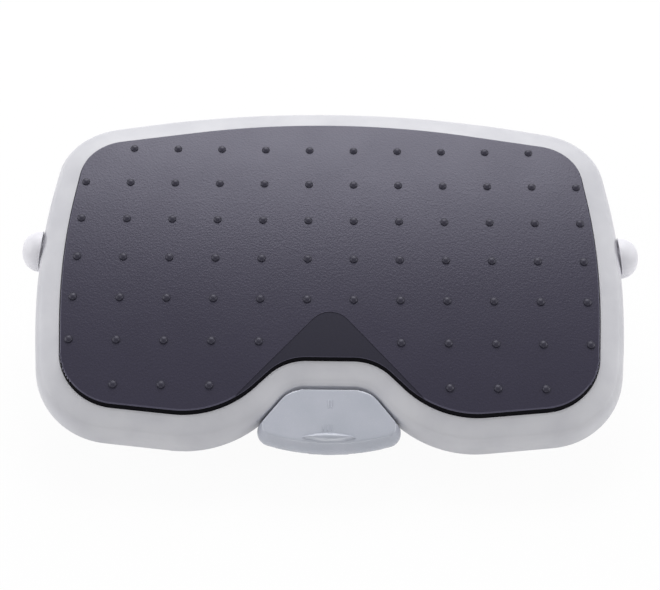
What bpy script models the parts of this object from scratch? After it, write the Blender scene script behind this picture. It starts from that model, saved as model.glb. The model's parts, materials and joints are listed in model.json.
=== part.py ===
"""Ergonomic footrest: a crowned rocking platform on a low frame, with a heel pedal that frees the tilt.

Metres, +Z up, +X to the sitter's right, +Y away from the sitter. The platform's pieces are drawn in
platform coordinates: the origin is the middle of the mat's top, and z is square to the mat there.
"""

import math

import bmesh
import bpy
from mathutils import Matrix, Vector

# Stance
pivot_height = 0.094
rest_tilt_degrees = 15.0
pivot_back = 0.020
pivot_drop = 0.026
seat_gap = 0.0003
overrun = 0.002

# Outlines from above, front to back: each corner's place across and along and its radius, as shares of
# the mat's half width
mat_half_width = 0.2385
mat_corner_shares = (
    (0.163, -0.416, 0.191),
    (0.390, -0.639, 0.363),
    (0.960, -0.584, 0.225),
    (1.010, 0.000, 3.141),
    (0.960, 0.532, 0.179),
    (0.000, 0.706, 3.050),
)
rim_corner_shares = (
    (0.1505, -0.496, 0.115),
    (0.305, -0.738, 0.419),
    (1.0455, -0.664, 0.3025),
    (1.121, 0.000, 3.144),
    (1.0545, 0.631, 0.265),
    (0.000, 0.858, 3.836),
)
platform_corner_steps = (5, 5, 6, 5, 6, 10)
pedal_top_shares = ((0.000, -0.732, 0.880), (0.270, -0.668, 0.038), (0.143, -0.510, 0.101))
pedal_bulge_shares = ((0.000, -0.760, 0.800), (0.302, -0.674, 0.050), (0.143, -0.510, 0.101))
pedal_corner_steps = (12, 6, 6)
crown_radius = 1.110
crown_reach = 0.200
crown_steps = 13
slab_half_width = 0.300

# Grip mat
mat_thickness = 0.0047
mat_edge_radius = 0.0012
bump_pitch = 0.041
bump_columns = 12
bump_rows = 7
bump_margin = 0.0065
bump_radius = 0.0041
bump_height = 0.0023
bump_root = 0.0012
bump_foot = 0.0006
bump_shoulder_shares = (0.72, 0.66)
panel_depth = 0.0006
panel_apex_reach = 0.0462
panel_flank_degrees = 45.0
panel_apex_radius = 0.017
panel_flank_reach = 0.100

# Platform tray
tray_plate_drop = 0.0050
tray_plate = 0.0030
tray_plate_lap = 0.0016
skirt_depth = 0.0250
rim_section_shares = (
    (0.028, 0.240),
    (0.028, 0.140),
    (0.600, 0.300),
    (0.760, 0.385),
    (0.880, 0.530),
    (0.955, 0.740),
    (1.000, 1.000),
    (0.885, 1.000),
    (0.840, 0.770),
    (0.740, 0.575),
    (0.570, 0.440),
    (-0.140, 0.310),
    (-0.140, 0.240),
)
rib_thickness = 0.0022
rib_depth = 0.0090
rib_cells_across = 9
rib_cells_deep = 6
rib_field_half_width = 0.2220
rib_field_half_depth = 0.1650
rib_edge_reach = 0.0080
pad_depth = 0.0040
bay_margin = 0.0020
pilot_depth = 0.0046

# Axle, bushes, pivot blocks and caps
axle_radius = 0.0050
axle_half_length = 0.2520
bush_radius = 0.0080
bush_flange_radius = 0.0105
bush_flange = 0.0015
block_radius = 0.0135
block_round_share = 0.97
block_inner = 0.2030
block_width = 0.0160
block_flange = 0.0030
block_flange_half_length = 0.0270
block_flange_margin = 0.0030
cap_radius = 0.0185
cap_neck_radius = 0.0085
cap_face_radius = 0.0130
cap_back = 0.0022
cap_tip = 0.2802
rim_half_width = 0.2619
cap_clearance = 0.0014
cap_back_steps = 3
cap_dome_steps = 6
cap_fullness = 0.85
arch_clearance = 0.0015

# Base frame
leg_inner = 0.2260
leg_width = 0.0180
leg_half_length = 0.1180
leg_foot_height = 0.0180
leg_head_radius = 0.0135
leg_heel_radius = 0.0050
leg_toe_radius = 0.0100
leg_flange = 0.0065
leg_web = 0.0050
leg_rib = 0.0030
leg_rib_spacing = 0.0420
leg_boss_wall = 0.0050
pad_foot_radius = 0.0120
pad_foot_height = 0.0050
pad_foot_stem_radius = 0.0040
pad_foot_stem = 0.0060
pad_foot_inset = 0.0170
pad_foot_y = leg_half_length - pad_foot_inset
rail_inset = 0.0170
rail_y = pad_foot_y - rail_inset
rail_width = 0.0220
rail_height = 0.0120
rail_wall = 0.0030
rail_pocket_depth = 0.0080
rail_pocket_length = 0.0440
rail_end_block = 0.0160
rail_middle_block = 0.0300
beam_width = 0.0280

# Brake sector and its post
sector_radius = 0.0440
sector_thickness = 0.0080
sector_start_degrees = 2.0
sector_end_degrees = 46.0
sector_teeth = 9
tooth_depth = 0.0014
sector_hub_radius = 0.0105
hub_lap_share = 0.80
sector_tail = 0.0240
sector_tail_radius = 0.0070
post_cheek = 0.0040
post_head_radius = 0.0110
post_flare_share = 1.5
post_foot_half_length = 0.0280
post_foot_half_width = 0.0120
post_foot_thickness = 0.0050
post_web_top = 0.0400
post_screw_y = 0.0210
sector_bolt_radius = 0.0025

# Release cradle
rod_drop = 0.0360
rod_radius = 0.0025
rod_clearance = 0.0004
cradle_pad_drop = 0.0170
cradle_plate = 0.0030
cradle_front_setback = 0.0020
cradle_plate_back = 0.0500
cradle_flange_half_width = 0.0310
cheek_inner = 0.0150
cheek_thickness = 0.0030
cheek_back = 0.0260
cheek_drop = 0.0455
cheek_nose_reach = 0.0045
cheek_nose_drop = 0.0260
full_round_share = 0.98
cradle_floor = 0.0024
wall_back = 0.0600
wall_thickness = 0.0040
cradle_screw_x = 0.0250
cradle_screw_front_inset = 0.0100
cradle_screw_back_inset = 0.0060

# Pedal
pedal_drop = 0.0080
pedal_depth = 0.0230
pedal_wall = 0.0026
pedal_bulge_drop = 0.0290
pedal_shoulder_drop = 0.0205
pedal_edge_radius = 0.0026
hinge_reach = 0.1080
cradle_front = hinge_reach - cradle_front_setback
hinge_drop = 0.0490
hinge_pin_radius = 0.0030
barrel_radius = 0.0060
barrel_half_length = 0.0140
ear_radius = 0.0070
arm_thickness = 0.0040
arm_half_width = 0.0065
arm_top_drop = 0.0305
arm_hole_radius = 0.0033
web_x = 0.0100
web_thickness = 0.0030
web_shoulder_drop = 0.0332
web_front_reach = 0.1560
web_seat = 0.0014
web_nose_shares = (0.9, 0.5, 0.8)
toe_ridge_half_width = 0.0225
toe_ridge_back = 0.1589
toe_ridge_depth = 0.0051
toe_ridge_height = 0.0018
toe_ridge_back_bow_share = 0.75
toe_ridge_front_bow_share = 0.60
toe_ridge_end_share = 1.08
toe_ridge_steps = 10

# Brake shoe, pad, rod nut and spring
shoe_half_width = 0.0075
shoe_half_height = 0.0068
shoe_front = 0.0380
shoe_back = 0.0278
shoe_bore_end = 0.0290
rod_end = 0.0300
pad_half_height = 0.0064
nut_radius = 0.0050
nut_thickness = 0.0043
nut_gap = 0.0005
nut_dome = 0.0009
nut_dome_share = 0.62
rod_front_reach = 0.0080
spring_wire_radius = 0.0007
spring_coil_radius = 0.0050
spring_turns = 5.5
spring_points_per_turn = 8
spring_least_gap = 0.0004
spring_near_share = 0.6

# Fasteners
screw_head_radius = 0.0042
screw_head_height = 0.0024
screw_radius = 0.0020
frame_screw_radius = 0.0026
frame_screw_head_radius = 0.0052
frame_screw_head_height = 0.0030
frame_screw_bite = 0.0100
clip_radius = 0.0052
clip_thickness = 0.0010
pin_head_radius = 0.0046
pin_head = 0.0016

# Facets round a turned piece
fine_steps = 24
round_steps = 16
small_steps = 10
screw_steps = 8
bump_steps = 7

colours = {
    "rim_grey": ((0.60, 0.60, 0.61), 0.42, 0.0),
    "mat_rubber": ((0.055, 0.052, 0.066), 0.78, 0.0),
    "pedal_grey": ((0.42, 0.45, 0.51), 0.30, 0.0),
    "frame_grey": ((0.70, 0.69, 0.74), 0.40, 0.0),
    "mechanism_black": ((0.045, 0.045, 0.050), 0.55, 0.0),
    "foot_rubber": ((0.020, 0.020, 0.020), 0.85, 0.0),
    "plated_steel": ((0.62, 0.63, 0.64), 0.32, 1.0),
    "sector_steel": ((0.38, 0.38, 0.40), 0.45, 1.0),
    "bush_plastic": ((0.80, 0.78, 0.70), 0.45, 0.0),
}


def clear_scene():
    """Leaves an empty scene."""
    for item in list(bpy.data.objects):
        bpy.data.objects.remove(item)


def make_materials():
    """One plain finish for each kind of piece."""
    made = {}
    for name, (colour, roughness, metallic) in colours.items():
        finish = bpy.data.materials.new(name)
        finish.use_nodes = True
        shader = finish.node_tree.nodes["Principled BSDF"]
        shader.inputs["Base Color"].default_value = (*colour, 1.0)
        shader.inputs["Roughness"].default_value = roughness
        shader.inputs["Metallic"].default_value = metallic
        finish.diffuse_color = (*colour, 1.0)
        made[name] = finish
    return made


def solid(name, mesh_maker):
    """A new object whose mesh is filled by mesh_maker, with its faces pointing out."""
    shape = bmesh.new()
    mesh_maker(shape)
    bmesh.ops.recalc_face_normals(shape, faces=shape.faces)
    if shape.calc_volume(signed=True) < 0:
        bmesh.ops.reverse_faces(shape, faces=shape.faces)
    mesh = bpy.data.meshes.new(name)
    shape.to_mesh(mesh)
    shape.free()
    made = bpy.data.objects.new(name, mesh)
    bpy.context.scene.collection.objects.link(made)
    return made


def bake(item):
    """Keeps what an object's modifiers make as its own mesh."""
    bpy.context.view_layer.update()
    graph = bpy.context.evaluated_depsgraph_get()
    item.data = bpy.data.meshes.new_from_object(item.evaluated_get(graph))
    item.modifiers.clear()
    return item


def combine(item, other, operation):
    """Joins another solid to an object, cuts it away or keeps what they share."""
    step = item.modifiers.new(operation.lower(), "BOOLEAN")
    step.operation = operation
    step.object = other
    bake(item)
    bpy.data.objects.remove(other)
    return item


def join(item, *others):
    """Adds solids to an object."""
    for other in others:
        combine(item, other, "UNION")
    return item


def cut(item, *others):
    """Takes solids away from an object."""
    for other in others:
        combine(item, other, "DIFFERENCE")
    return item


def block(low, high):
    """A box between two corners."""
    low, high = Vector(low), Vector(high)

    def fill(shape):
        size = Matrix.Diagonal((high - low).to_4d())
        bmesh.ops.create_cube(shape, size=1, matrix=Matrix.Translation((low + high) / 2) @ size)

    return solid("block", fill)


def laid_along(axis):
    """The turn that lays a shape drawn along Z on another axis."""
    turns = {
        "X": Matrix.Rotation(math.pi / 2, 4, "Y"),
        "Y": Matrix.Rotation(-math.pi / 2, 4, "X"),
        "Z": Matrix.Identity(4),
        "-X": Matrix.Rotation(-math.pi / 2, 4, "Y"),
        "-Y": Matrix.Rotation(math.pi / 2, 4, "X"),
        "-Z": Matrix.Rotation(math.pi, 4, "X"),
    }
    return turns[axis]


def turned(profile, steps, axis="Z", place=(0, 0, 0)):
    """A turned solid. The profile's (radius, height) points run from its axis back to it, or in a ring."""

    def fill(shape):
        points = [shape.verts.new((radius, 0, height)) for radius, height in profile]
        edges = [shape.edges.new(pair) for pair in zip(points, points[1:])]
        if profile[0][0] > 0:
            edges.append(shape.edges.new((points[-1], points[0])))
        bmesh.ops.spin(
            shape, geom=points + edges, cent=(0, 0, 0), axis=(0, 0, 1), angle=2 * math.pi, steps=steps
        )
        bmesh.ops.remove_doubles(shape, verts=shape.verts, dist=seat_gap / 100)
        shape.transform(Matrix.Translation(place) @ laid_along(axis))

    return solid("turned", fill)


def rod(radius, low, high, steps, axis="Z", place=(0, 0, 0)):
    """A plain round bar from low to high along an axis."""
    return turned([(0, low), (radius, low), (radius, high), (0, high)], steps, axis, place)


def sleeve(outer, inner, low, high, steps, axis="Z", place=(0, 0, 0)):
    """A plain tube from low to high along an axis."""
    profile = [(inner, low), (outer, low), (outer, high), (inner, high)]
    return turned(profile, steps, axis, place)


def prism(points, low, high):
    """A flat outline in X and Y, raised from low to high."""

    def fill(shape):
        face = shape.faces.new([shape.verts.new((x, y, low)) for x, y in points])
        raised = bmesh.ops.extrude_face_region(shape, geom=[face])
        tops = [item for item in raised["geom"] if isinstance(item, bmesh.types.BMVert)]
        bmesh.ops.translate(shape, verts=tops, vec=(0, 0, high - low))

    return solid("prism", fill)


def plate_x(points, low, high):
    """A flat outline in Y and Z, thick from low to high along X."""
    made = prism(points, low, high)
    swap = Matrix(((0, 0, 1, 0), (1, 0, 0, 0), (0, 1, 0, 0), (0, 0, 0, 1)))
    made.data.transform(swap)
    return made


def rounded(corners):
    """The points of a closed outline, anticlockwise, whose corners (x, y, radius, steps) are arcs."""
    points = []
    for index, (x, y, radius, steps) in enumerate(corners):
        here = Vector((x, y))
        before = (Vector(corners[index - 1][:2]) - here).normalized()
        after = (Vector(corners[(index + 1) % len(corners)][:2]) - here).normalized()
        half_corner = before.angle(after) / 2
        centre = here + (before + after).normalized() * radius / math.sin(half_corner)
        start = here + before * radius / math.tan(half_corner) - centre
        turn = math.copysign(math.pi - 2 * half_corner, -before.cross(after))
        for step in range(steps + 1):
            points.append(centre + Matrix.Rotation(turn * step / steps, 2) @ start)
    return points


def offset(corners, distance):
    """The corners of the parallel outline that lies a distance further out."""
    lines = []
    for index, corner in enumerate(corners):
        start = Vector(corner[:2])
        along = (Vector(corners[(index + 1) % len(corners)][:2]) - start).normalized()
        lines.append((start + Vector((along.y, -along.x)) * distance, along))
    moved = []
    for index, (_, _, radius, steps) in enumerate(corners):
        (first, along), (second, onward) = lines[index - 1], lines[index]
        bend = along.cross(onward)
        place = first + along * (second - first).cross(onward) / bend
        moved.append((place.x, place.y, radius + distance * math.copysign(1, bend), steps))
    return moved


def outline(shares, steps):
    """The corners of a whole outline, anticlockwise, from the shares of its right side."""
    right_side = [
        (*(share * mat_half_width for share in corner), count) for corner, count in zip(shares, steps)
    ]
    left_side = [(-x, y, radius, count) for x, y, radius, count in reversed(right_side) if x > 0]
    return right_side + left_side


def mat_corners():
    """The mat's outline: bowed back and sides, two front lobes and a notch between them."""
    return outline(mat_corner_shares, platform_corner_steps)


def rim_corners(share):
    """The outline a share of the way from the mat's edge to the outside of the tray's rim."""
    shares = [
        [inner + (outer - inner) * share for inner, outer in zip(mat_corner, rim_corner)]
        for mat_corner, rim_corner in zip(mat_corner_shares, rim_corner_shares)
    ]
    return outline(shares, platform_corner_steps)


def crown(y):
    """The height of the mat's top, which falls away to the front and the back."""
    return -y * y / (2 * crown_radius)


def crowned_slab(top_drop, bottom_drop):
    """A wide slab that follows the crown, between two depths below the mat's top."""
    stations = [crown_reach * (2 * step / crown_steps - 1) for step in range(crown_steps + 1)]
    top = [(y, crown(y) - top_drop) for y in reversed(stations)]
    bottom = [(y, crown(y) - bottom_drop) for y in stations]
    return plate_x(bottom + top, -slab_half_width, slab_half_width)


def crowned_plate(corners, top_drop, bottom_drop):
    """The part of a crowned slab that lies inside an outline."""
    tall = crown_reach
    return combine(prism(rounded(corners), -tall, tall), crowned_slab(top_drop, bottom_drop), "INTERSECT")


def round_edges(item, radius, segments, facing=1):
    """Rounds the sharp edges round an object's top, or its underside where facing is -1."""
    shape = bmesh.new()
    shape.from_mesh(item.data)
    bmesh.ops.remove_doubles(shape, verts=shape.verts, dist=seat_gap / 100)
    level, upright = math.cos(math.radians(30)), math.cos(math.radians(60))
    edges = []
    for edge in shape.edges:
        heights = sorted(face.normal.z * facing for face in edge.link_faces)
        if len(heights) == 2 and heights[1] > level and abs(heights[0]) < upright:
            edges.append(edge)
    bmesh.ops.bevel(shape, geom=edges, offset=radius, segments=segments, profile=0.5, affect="EDGES")
    shape.to_mesh(item.data)
    shape.free()
    return item


def finish(item, name, material, frame, place=(0, 0, 0)):
    """Names a piece, gives it its material and puts it under its body's frame."""
    item.name = item.data.name = name
    item.data.materials.clear()
    item.data.materials.append(material)
    item.data.shade_smooth()
    item.data.set_sharp_from_angle(angle=math.radians(32))
    item.parent = frame
    item.location = place
    return item


def add_frame(name, parent, place, tilt=0.0):
    """An empty that carries one body's pieces, on that body's joint axis."""
    frame = bpy.data.objects.new(name, None)
    bpy.context.scene.collection.objects.link(frame)
    frame.parent = parent
    frame.location = place
    frame.rotation_euler = (tilt, 0, 0)
    return frame


def screw(head_radius, head_height, radius, length, axis, place):
    """A pan head screw whose head rises along the axis from its place and whose shank goes the other way."""
    profile = [
        (0, head_height),
        (head_radius / 2, head_height),
        (head_radius, head_height / 2),
        (head_radius, 0),
        (radius, 0),
        (radius, -length),
        (0, -length),
    ]
    return turned(profile, screw_steps, axis, place)


def depth_inside(points, place):
    """How deep a place lies inside an outline, or zero outside it."""
    turn, depths = 0, []
    for start, end in zip(points, points[1:] + points[:1]):
        along = end - start
        share = min(max((place - start).dot(along) / along.length_squared, 0), 1)
        depths.append((start + along * share - place).length)
        turn += (start - place).angle_signed(end - place)
    return min(depths) if abs(turn) > math.pi else 0


def bump_places():
    """The centres of the mat's bumps: a square grid, left out near the mat's edge and on the wedge."""
    edge = rounded(mat_corners())
    slope = math.tan(math.radians(panel_flank_degrees))
    places = []
    for row in range(bump_rows):
        for column in range(bump_columns):
            x = (column - (bump_columns - 1) / 2) * bump_pitch
            y = ((bump_rows - 1) / 2 - row) * bump_pitch
            on_wedge = bump_radius - y > panel_apex_reach + abs(x) * slope
            if depth_inside(edge, Vector((x, y))) > bump_margin and not on_wedge:
                places.append((x, y))
    return places


def bumps():
    """All the mat's domed bumps as separate shapes in one object."""
    rise_share, width_share = bump_shoulder_shares
    profile = [
        (0, -bump_root),
        (bump_radius, -bump_root),
        (bump_radius, bump_foot),
        (bump_radius * width_share, bump_height * rise_share),
        (0, bump_height),
    ]
    dome = turned(profile, bump_steps)

    def fill(shape):
        for x, y in bump_places():
            before = set(shape.verts)
            shape.from_mesh(dome.data)
            fresh = [vert for vert in shape.verts if vert not in before]
            bmesh.ops.translate(shape, verts=fresh, vec=(x, y, crown(y)))

    made = solid("bumps", fill)
    bpy.data.objects.remove(dome)
    return made


def front_panel_corners():
    """The plain wedge at the front of the mat, which runs out over the notch."""
    slope = math.tan(math.radians(panel_flank_degrees))
    foot = panel_apex_reach + panel_flank_reach * slope
    return [
        (0, -panel_apex_reach, panel_apex_radius, 8),
        (-panel_flank_reach, -foot, bump_radius, 1),
        (panel_flank_reach, -foot, bump_radius, 1),
    ]


def make_grip_mat():
    """The rubber mat: crowned, with rounded edges, rows of domed bumps and a bare sunk wedge."""
    mat = crowned_plate(mat_corners(), 0, mat_thickness)
    round_edges(mat, mat_edge_radius, 2)
    join(mat, bumps())
    return cut(mat, crowned_plate(front_panel_corners(), -panel_depth, panel_depth))


def lofted(loops, closed):
    """A solid skin over a row of loops with equal counts, with its ends capped or joined in a ring."""

    def fill(shape):
        rows = [[shape.verts.new(point) for point in loop] for loop in loops]
        following = rows[1:] + rows[:1] if closed else rows[1:]
        for row, after in zip(rows, following):
            for index in range(len(row)):
                shape.faces.new((row[index - 1], row[index], after[index], after[index - 1]))
        if not closed:
            shape.faces.new(rows[0])
            shape.faces.new(rows[-1])

    return solid("lofted", fill)


def make_rim():
    """The tray's rim and skirt, lofted round the mat's outline."""
    loops = []
    for share, depth_share in rim_section_shares:
        drop = depth_share * skirt_depth
        loops.append([(x, y, crown(y) - drop) for x, y in rounded(rim_corners(share))])
    return lofted(loops, True)


def make_ribs():
    """The lattice of ribs under the tray, left open where the brake, the pads and the blocks go."""

    def fill(shape):
        size = Matrix.Diagonal((rib_field_half_width, rib_field_half_depth, 1, 1))
        bmesh.ops.create_grid(
            shape, x_segments=rib_cells_across, y_segments=rib_cells_deep, size=1, matrix=size
        )
        cells = list(shape.faces)
        bmesh.ops.inset_individual(shape, faces=cells, thickness=rib_thickness / 2, use_even_offset=True)
        bmesh.ops.delete(shape, geom=cells, context="FACES")
        raised = bmesh.ops.extrude_face_region(shape, geom=list(shape.faces))
        tops = [item for item in raised["geom"] if isinstance(item, bmesh.types.BMVert)]
        bmesh.ops.translate(shape, verts=shape.verts, vec=(0, 0, -crown_reach))
        bmesh.ops.translate(shape, verts=tops, vec=(0, 0, 2 * crown_reach))

    top_drop = tray_plate_drop + tray_plate / 2
    bottom_drop = tray_plate_drop + tray_plate + rib_depth
    ribs = solid("ribs", fill)
    field = crowned_plate(offset(mat_corners(), rib_edge_reach), top_drop, bottom_drop)
    combine(ribs, field, "INTERSECT")
    tall = crown_reach
    bay_half_width = cheek_inner + cheek_thickness + bay_margin
    bay_back = pivot_back + sector_hub_radius + post_foot_half_width
    pad_half_width = cradle_flange_half_width + bay_margin
    bay = block((-bay_half_width, -cradle_plate_back, -tall), (bay_half_width, bay_back, tall))
    pad_back = bay_margin - cradle_plate_back
    pad_bay = block((-pad_half_width, -tall, -tall), (pad_half_width, pad_back, tall))
    cut(ribs, bay, pad_bay)
    for side in (-1, 1):
        reach = block_flange_half_length + bay_margin
        inner, outer = block_flange_edges()
        ends = sorted((side * (inner - bay_margin), side * (outer + bay_margin)))
        cut(ribs, block((ends[0], pivot_back - reach, -tall), (ends[1], pivot_back + reach, tall)))
    return ribs


def block_flange_edges():
    """How far out the inner and outer edges of a pivot block's flange lie."""
    return block_inner - block_flange_margin, block_inner + block_width + block_flange_margin


def block_screw_places():
    """The pivot blocks' screws, in platform coordinates."""
    middle = block_inner + block_width / 2
    reach = block_flange_half_length - screw_head_radius - bay_margin
    sides = (("left", -1), ("right", 1))
    ends = (("front", -1), ("rear", 1))
    return {
        f"{side}_block_{end}_screw": (side_sign * middle, pivot_back + end_sign * reach)
        for side, side_sign in sides
        for end, end_sign in ends
    }


def cradle_screw_places():
    """The release cradle's screws, in platform coordinates."""
    sides = (("left", -1), ("right", 1))
    front, rear = cradle_front - cradle_screw_front_inset, cradle_plate_back + cradle_screw_back_inset
    ends = (("front", front), ("rear", rear))
    return {
        f"cradle_{side}_{end}_screw": (side_sign * cradle_screw_x, -reach)
        for side, side_sign in sides
        for end, reach in ends
    }


def block_pad_drop():
    """How far below the mat's middle the flat pads for the pivot blocks lie."""
    return tray_plate_drop + tray_plate + pad_depth


def make_platform_tray():
    """The moulded tray: crowned plate, sloping rim, skirt, ribs, pads, pilot holes and hub arches."""
    bottom_drop = tray_plate_drop + tray_plate
    plate = crowned_plate(offset(mat_corners(), tray_plate_lap), tray_plate_drop, bottom_drop)
    tray = join(plate, make_rim(), make_ribs())
    inner, outer = block_flange_edges()
    reach = block_flange_half_length + seat_gap
    middle_drop = tray_plate_drop + tray_plate / 2
    for side in (-1, 1):
        ends = sorted((side * (inner - seat_gap), side * (outer + seat_gap)))
        pad = block((ends[0], pivot_back - reach, -block_pad_drop()), (ends[1], pivot_back + reach, 0))
        join(tray, combine(pad, crowned_slab(middle_drop, 2 * skirt_depth), "INTERSECT"))
    half_width = cradle_flange_half_width + seat_gap
    pad = block((-half_width, -cradle_front, -cradle_pad_drop), (half_width, -cradle_plate_back, 0))
    join(tray, combine(pad, crowned_slab(middle_drop, 2 * skirt_depth), "INTERSECT"))
    hole = screw_radius + seat_gap
    for x, y in block_screw_places().values():
        bottom = -block_pad_drop()
        cut(tray, rod(hole, bottom - overrun, bottom + pilot_depth, small_steps, "Z", (x, y, 0)))
    for x, y in cradle_screw_places().values():
        bottom = -cradle_pad_drop
        cut(tray, rod(hole, bottom - overrun, bottom + pilot_depth, small_steps, "Z", (x, y, 0)))
    arch = cap_neck_radius + arch_clearance
    inner_edge, outer_edge = leg_inner + leg_width, cap_tip
    for side in (-1, 1):
        ends = sorted((side * inner_edge, side * outer_edge))
        place = (0, pivot_back, -pivot_drop)
        low = (ends[0], pivot_back - arch, -pivot_drop - skirt_depth)
        slot = block(low, (ends[1], pivot_back + arch, -pivot_drop))
        cut(tray, rod(arch, ends[0], ends[1], fine_steps, "X", place), slot)
    return tray


def make_pivot_block(side):
    """A bearing block that hangs from the tray and holds a bush round the axle."""
    low, high = sorted((side * block_inner, side * (block_inner + block_width)))
    edge_low, edge_high = sorted(side * edge for edge in block_flange_edges())
    top = -block_pad_drop() - seat_gap
    place = (0, pivot_back, -pivot_drop)
    round_end = block_radius * block_round_share
    corners = [
        (pivot_back - block_radius, -pivot_drop - block_radius, round_end, 6),
        (pivot_back + block_radius, -pivot_drop - block_radius, round_end, 6),
        (pivot_back + block_radius, top - block_flange / 2, block_flange / 3, 1),
        (pivot_back - block_radius, top - block_flange / 2, block_flange / 3, 1),
    ]
    body = plate_x(rounded(corners), low, high)
    flange_low = (edge_low, pivot_back - block_flange_half_length, top - block_flange)
    join(body, block(flange_low, (edge_high, pivot_back + block_flange_half_length, top)))
    cut(body, rod(bush_radius + seat_gap, low - overrun, high + overrun, round_steps, "X", place))
    for x, y in block_screw_places().values():
        if x * side > 0:
            hole = rod(screw_radius + seat_gap, -pivot_drop, 0, small_steps, "Z", (x, y, 0))
            cut(body, hole)
    return body


def make_bush(side):
    """A flanged bush between a pivot block and the axle."""
    inner, outer = block_inner, block_inner + block_width
    bore = axle_radius + seat_gap
    flange_face = inner - seat_gap
    profile = [
        (bore, flange_face - bush_flange),
        (bush_flange_radius, flange_face - bush_flange),
        (bush_flange_radius, flange_face),
        (bush_radius, flange_face),
        (bush_radius, outer),
        (bore, outer),
    ]
    return turned(profile, round_steps, "X" if side > 0 else "-X", (0, pivot_back, -pivot_drop))


def cheek_outline():
    """The side of the release cradle: a long cheek with a rounded ear round the pedal's pin."""
    top = -cradle_pad_drop - seat_gap - cradle_plate / 2
    ear_front = hinge_reach + ear_radius
    ear_round = ear_radius * full_round_share
    corners = [
        (-cheek_back, -cheek_drop, rod_radius, 3),
        (-cheek_back, top, rod_radius, 3),
        (-cradle_front + rod_radius, top, rod_radius, 2),
        (-hinge_reach - cheek_nose_reach, -cheek_nose_drop, rod_radius, 2),
        (-ear_front, -rod_drop, ear_radius, 3),
        (-ear_front, -hinge_drop - ear_radius, ear_round, 6),
        (-hinge_reach + ear_radius, -hinge_drop - ear_radius, ear_round, 6),
        (-hinge_reach + 2 * ear_radius, -cheek_drop, ear_radius, 3),
    ]
    return rounded(corners)


def make_release_cradle():
    """The channel under the tray that carries the pedal's pin and guides the rod and the shoe."""
    top = -cradle_pad_drop - seat_gap
    wide = cradle_flange_half_width
    cradle = block((-wide, -cradle_front, top - cradle_plate), (wide, -cradle_plate_back, top))
    outer = cheek_inner + cheek_thickness
    for low, high in ((-outer, -cheek_inner), (cheek_inner, outer)):
        join(cradle, plate_x(cheek_outline(), low, high))
    inside = cheek_inner + cheek_thickness / 2
    front = -wall_back - wall_thickness
    wall = block((-inside, front, -cheek_drop), (inside, -wall_back, top - cradle_plate / 2))
    floor_top = -rod_drop - shoe_half_height - seat_gap
    floor = block((-inside, front, floor_top - cradle_floor), (inside, -cheek_back, floor_top))
    join(cradle, wall, floor)
    for side in (-1, 1):
        ends = sorted((side * (shoe_half_width + seat_gap), side * inside))
        guide_top = -rod_drop + shoe_half_height
        back = -cheek_back - cradle_plate
        low = (ends[0], -shoe_front - cradle_plate, floor_top - cradle_floor / 2)
        join(cradle, block(low, (ends[1], back, guide_top)))
    rod_hole = rod_radius + rod_clearance
    cut(cradle, rod(rod_hole, front - overrun, overrun - wall_back, small_steps, "Y", (0, 0, -rod_drop)))
    pin_hole = hinge_pin_radius + seat_gap
    place = (0, -hinge_reach, -hinge_drop)
    cut(cradle, rod(pin_hole, -outer - overrun, outer + overrun, small_steps, "X", place))
    for x, y in cradle_screw_places().values():
        hole = rod(screw_radius + seat_gap, -cheek_drop, 0, small_steps, "Z", (x, y, 0))
        cut(cradle, hole)
    return cradle


def make_pedal_pin():
    """The pedal's hinge pin, with a head at its left end."""
    end = cheek_inner + cheek_thickness + pin_head + clip_thickness
    head_face = cheek_inner + cheek_thickness + seat_gap
    profile = [
        (0, -head_face - pin_head),
        (pin_head_radius, -head_face - pin_head),
        (pin_head_radius, -head_face),
        (hinge_pin_radius, -head_face),
        (hinge_pin_radius, end),
        (0, end),
    ]
    return turned(profile, small_steps, "X", (0, -hinge_reach, -hinge_drop))


def make_pin_clip():
    """The ring that holds the pedal's pin at its right end."""
    face = cheek_inner + cheek_thickness + seat_gap
    place = (0, -hinge_reach, -hinge_drop)
    inner = hinge_pin_radius + seat_gap
    return sleeve(clip_radius, inner, face, face + clip_thickness, small_steps, "X", place)


def pedal_shell(inset):
    """The pedal's shell without its crowned top: upright behind, bulging out in front."""
    top = offset(outline(pedal_top_shares, pedal_corner_steps), -inset)
    bulge = offset(outline(pedal_bulge_shares, pedal_corner_steps), -inset)
    levels = ((top, 0), (top, -pedal_shoulder_drop - inset), (bulge, -pedal_bulge_drop - inset))
    levels = (*levels, (bulge, -2 * pedal_bulge_drop))
    return lofted([[(x, y, z) for x, y in rounded(corners)] for corners, z in levels], False)


def toe_ridge():
    """The crescent lip near the pedal's front edge."""
    back, front = [], []
    for step in range(toe_ridge_steps + 1):
        share = 2 * step / toe_ridge_steps - 1
        x = toe_ridge_half_width * share
        bow = 1 - share * share
        back.append((x, -toe_ridge_back - toe_ridge_depth * (1 - bow * toe_ridge_back_bow_share)))
        reach = toe_ridge_end_share + bow * toe_ridge_front_bow_share
        front.append((x, -toe_ridge_back - toe_ridge_depth * reach))
    points = [*front, *reversed(back)]
    ridge = prism(points, -crown_reach, crown_reach)
    slab = crowned_slab(pedal_drop - toe_ridge_height, pedal_drop + pedal_wall / 2)
    combine(ridge, slab, "INTERSECT")
    return round_edges(ridge, toe_ridge_height / 3, 2)


def web_outline():
    """The side of a pedal web, from under the pedal's top down to the hinge barrel."""
    front, back = web_front_reach, pedal_rear_reach() + pedal_wall / 2
    seat = pedal_drop + web_seat
    skirt_low = crown(web_front_reach) - pedal_depth + barrel_radius
    top_share, out_share, down_share = web_nose_shares
    return [
        (-hinge_reach, -hinge_drop + barrel_radius * top_share),
        (-hinge_reach, -web_shoulder_drop),
        (-back, -web_shoulder_drop),
        (-back, crown(back) - seat),
        (-front, crown(front) - seat),
        (-front, skirt_low),
        (-hinge_reach - barrel_radius * out_share, -hinge_drop - barrel_radius * down_share),
    ]


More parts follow.
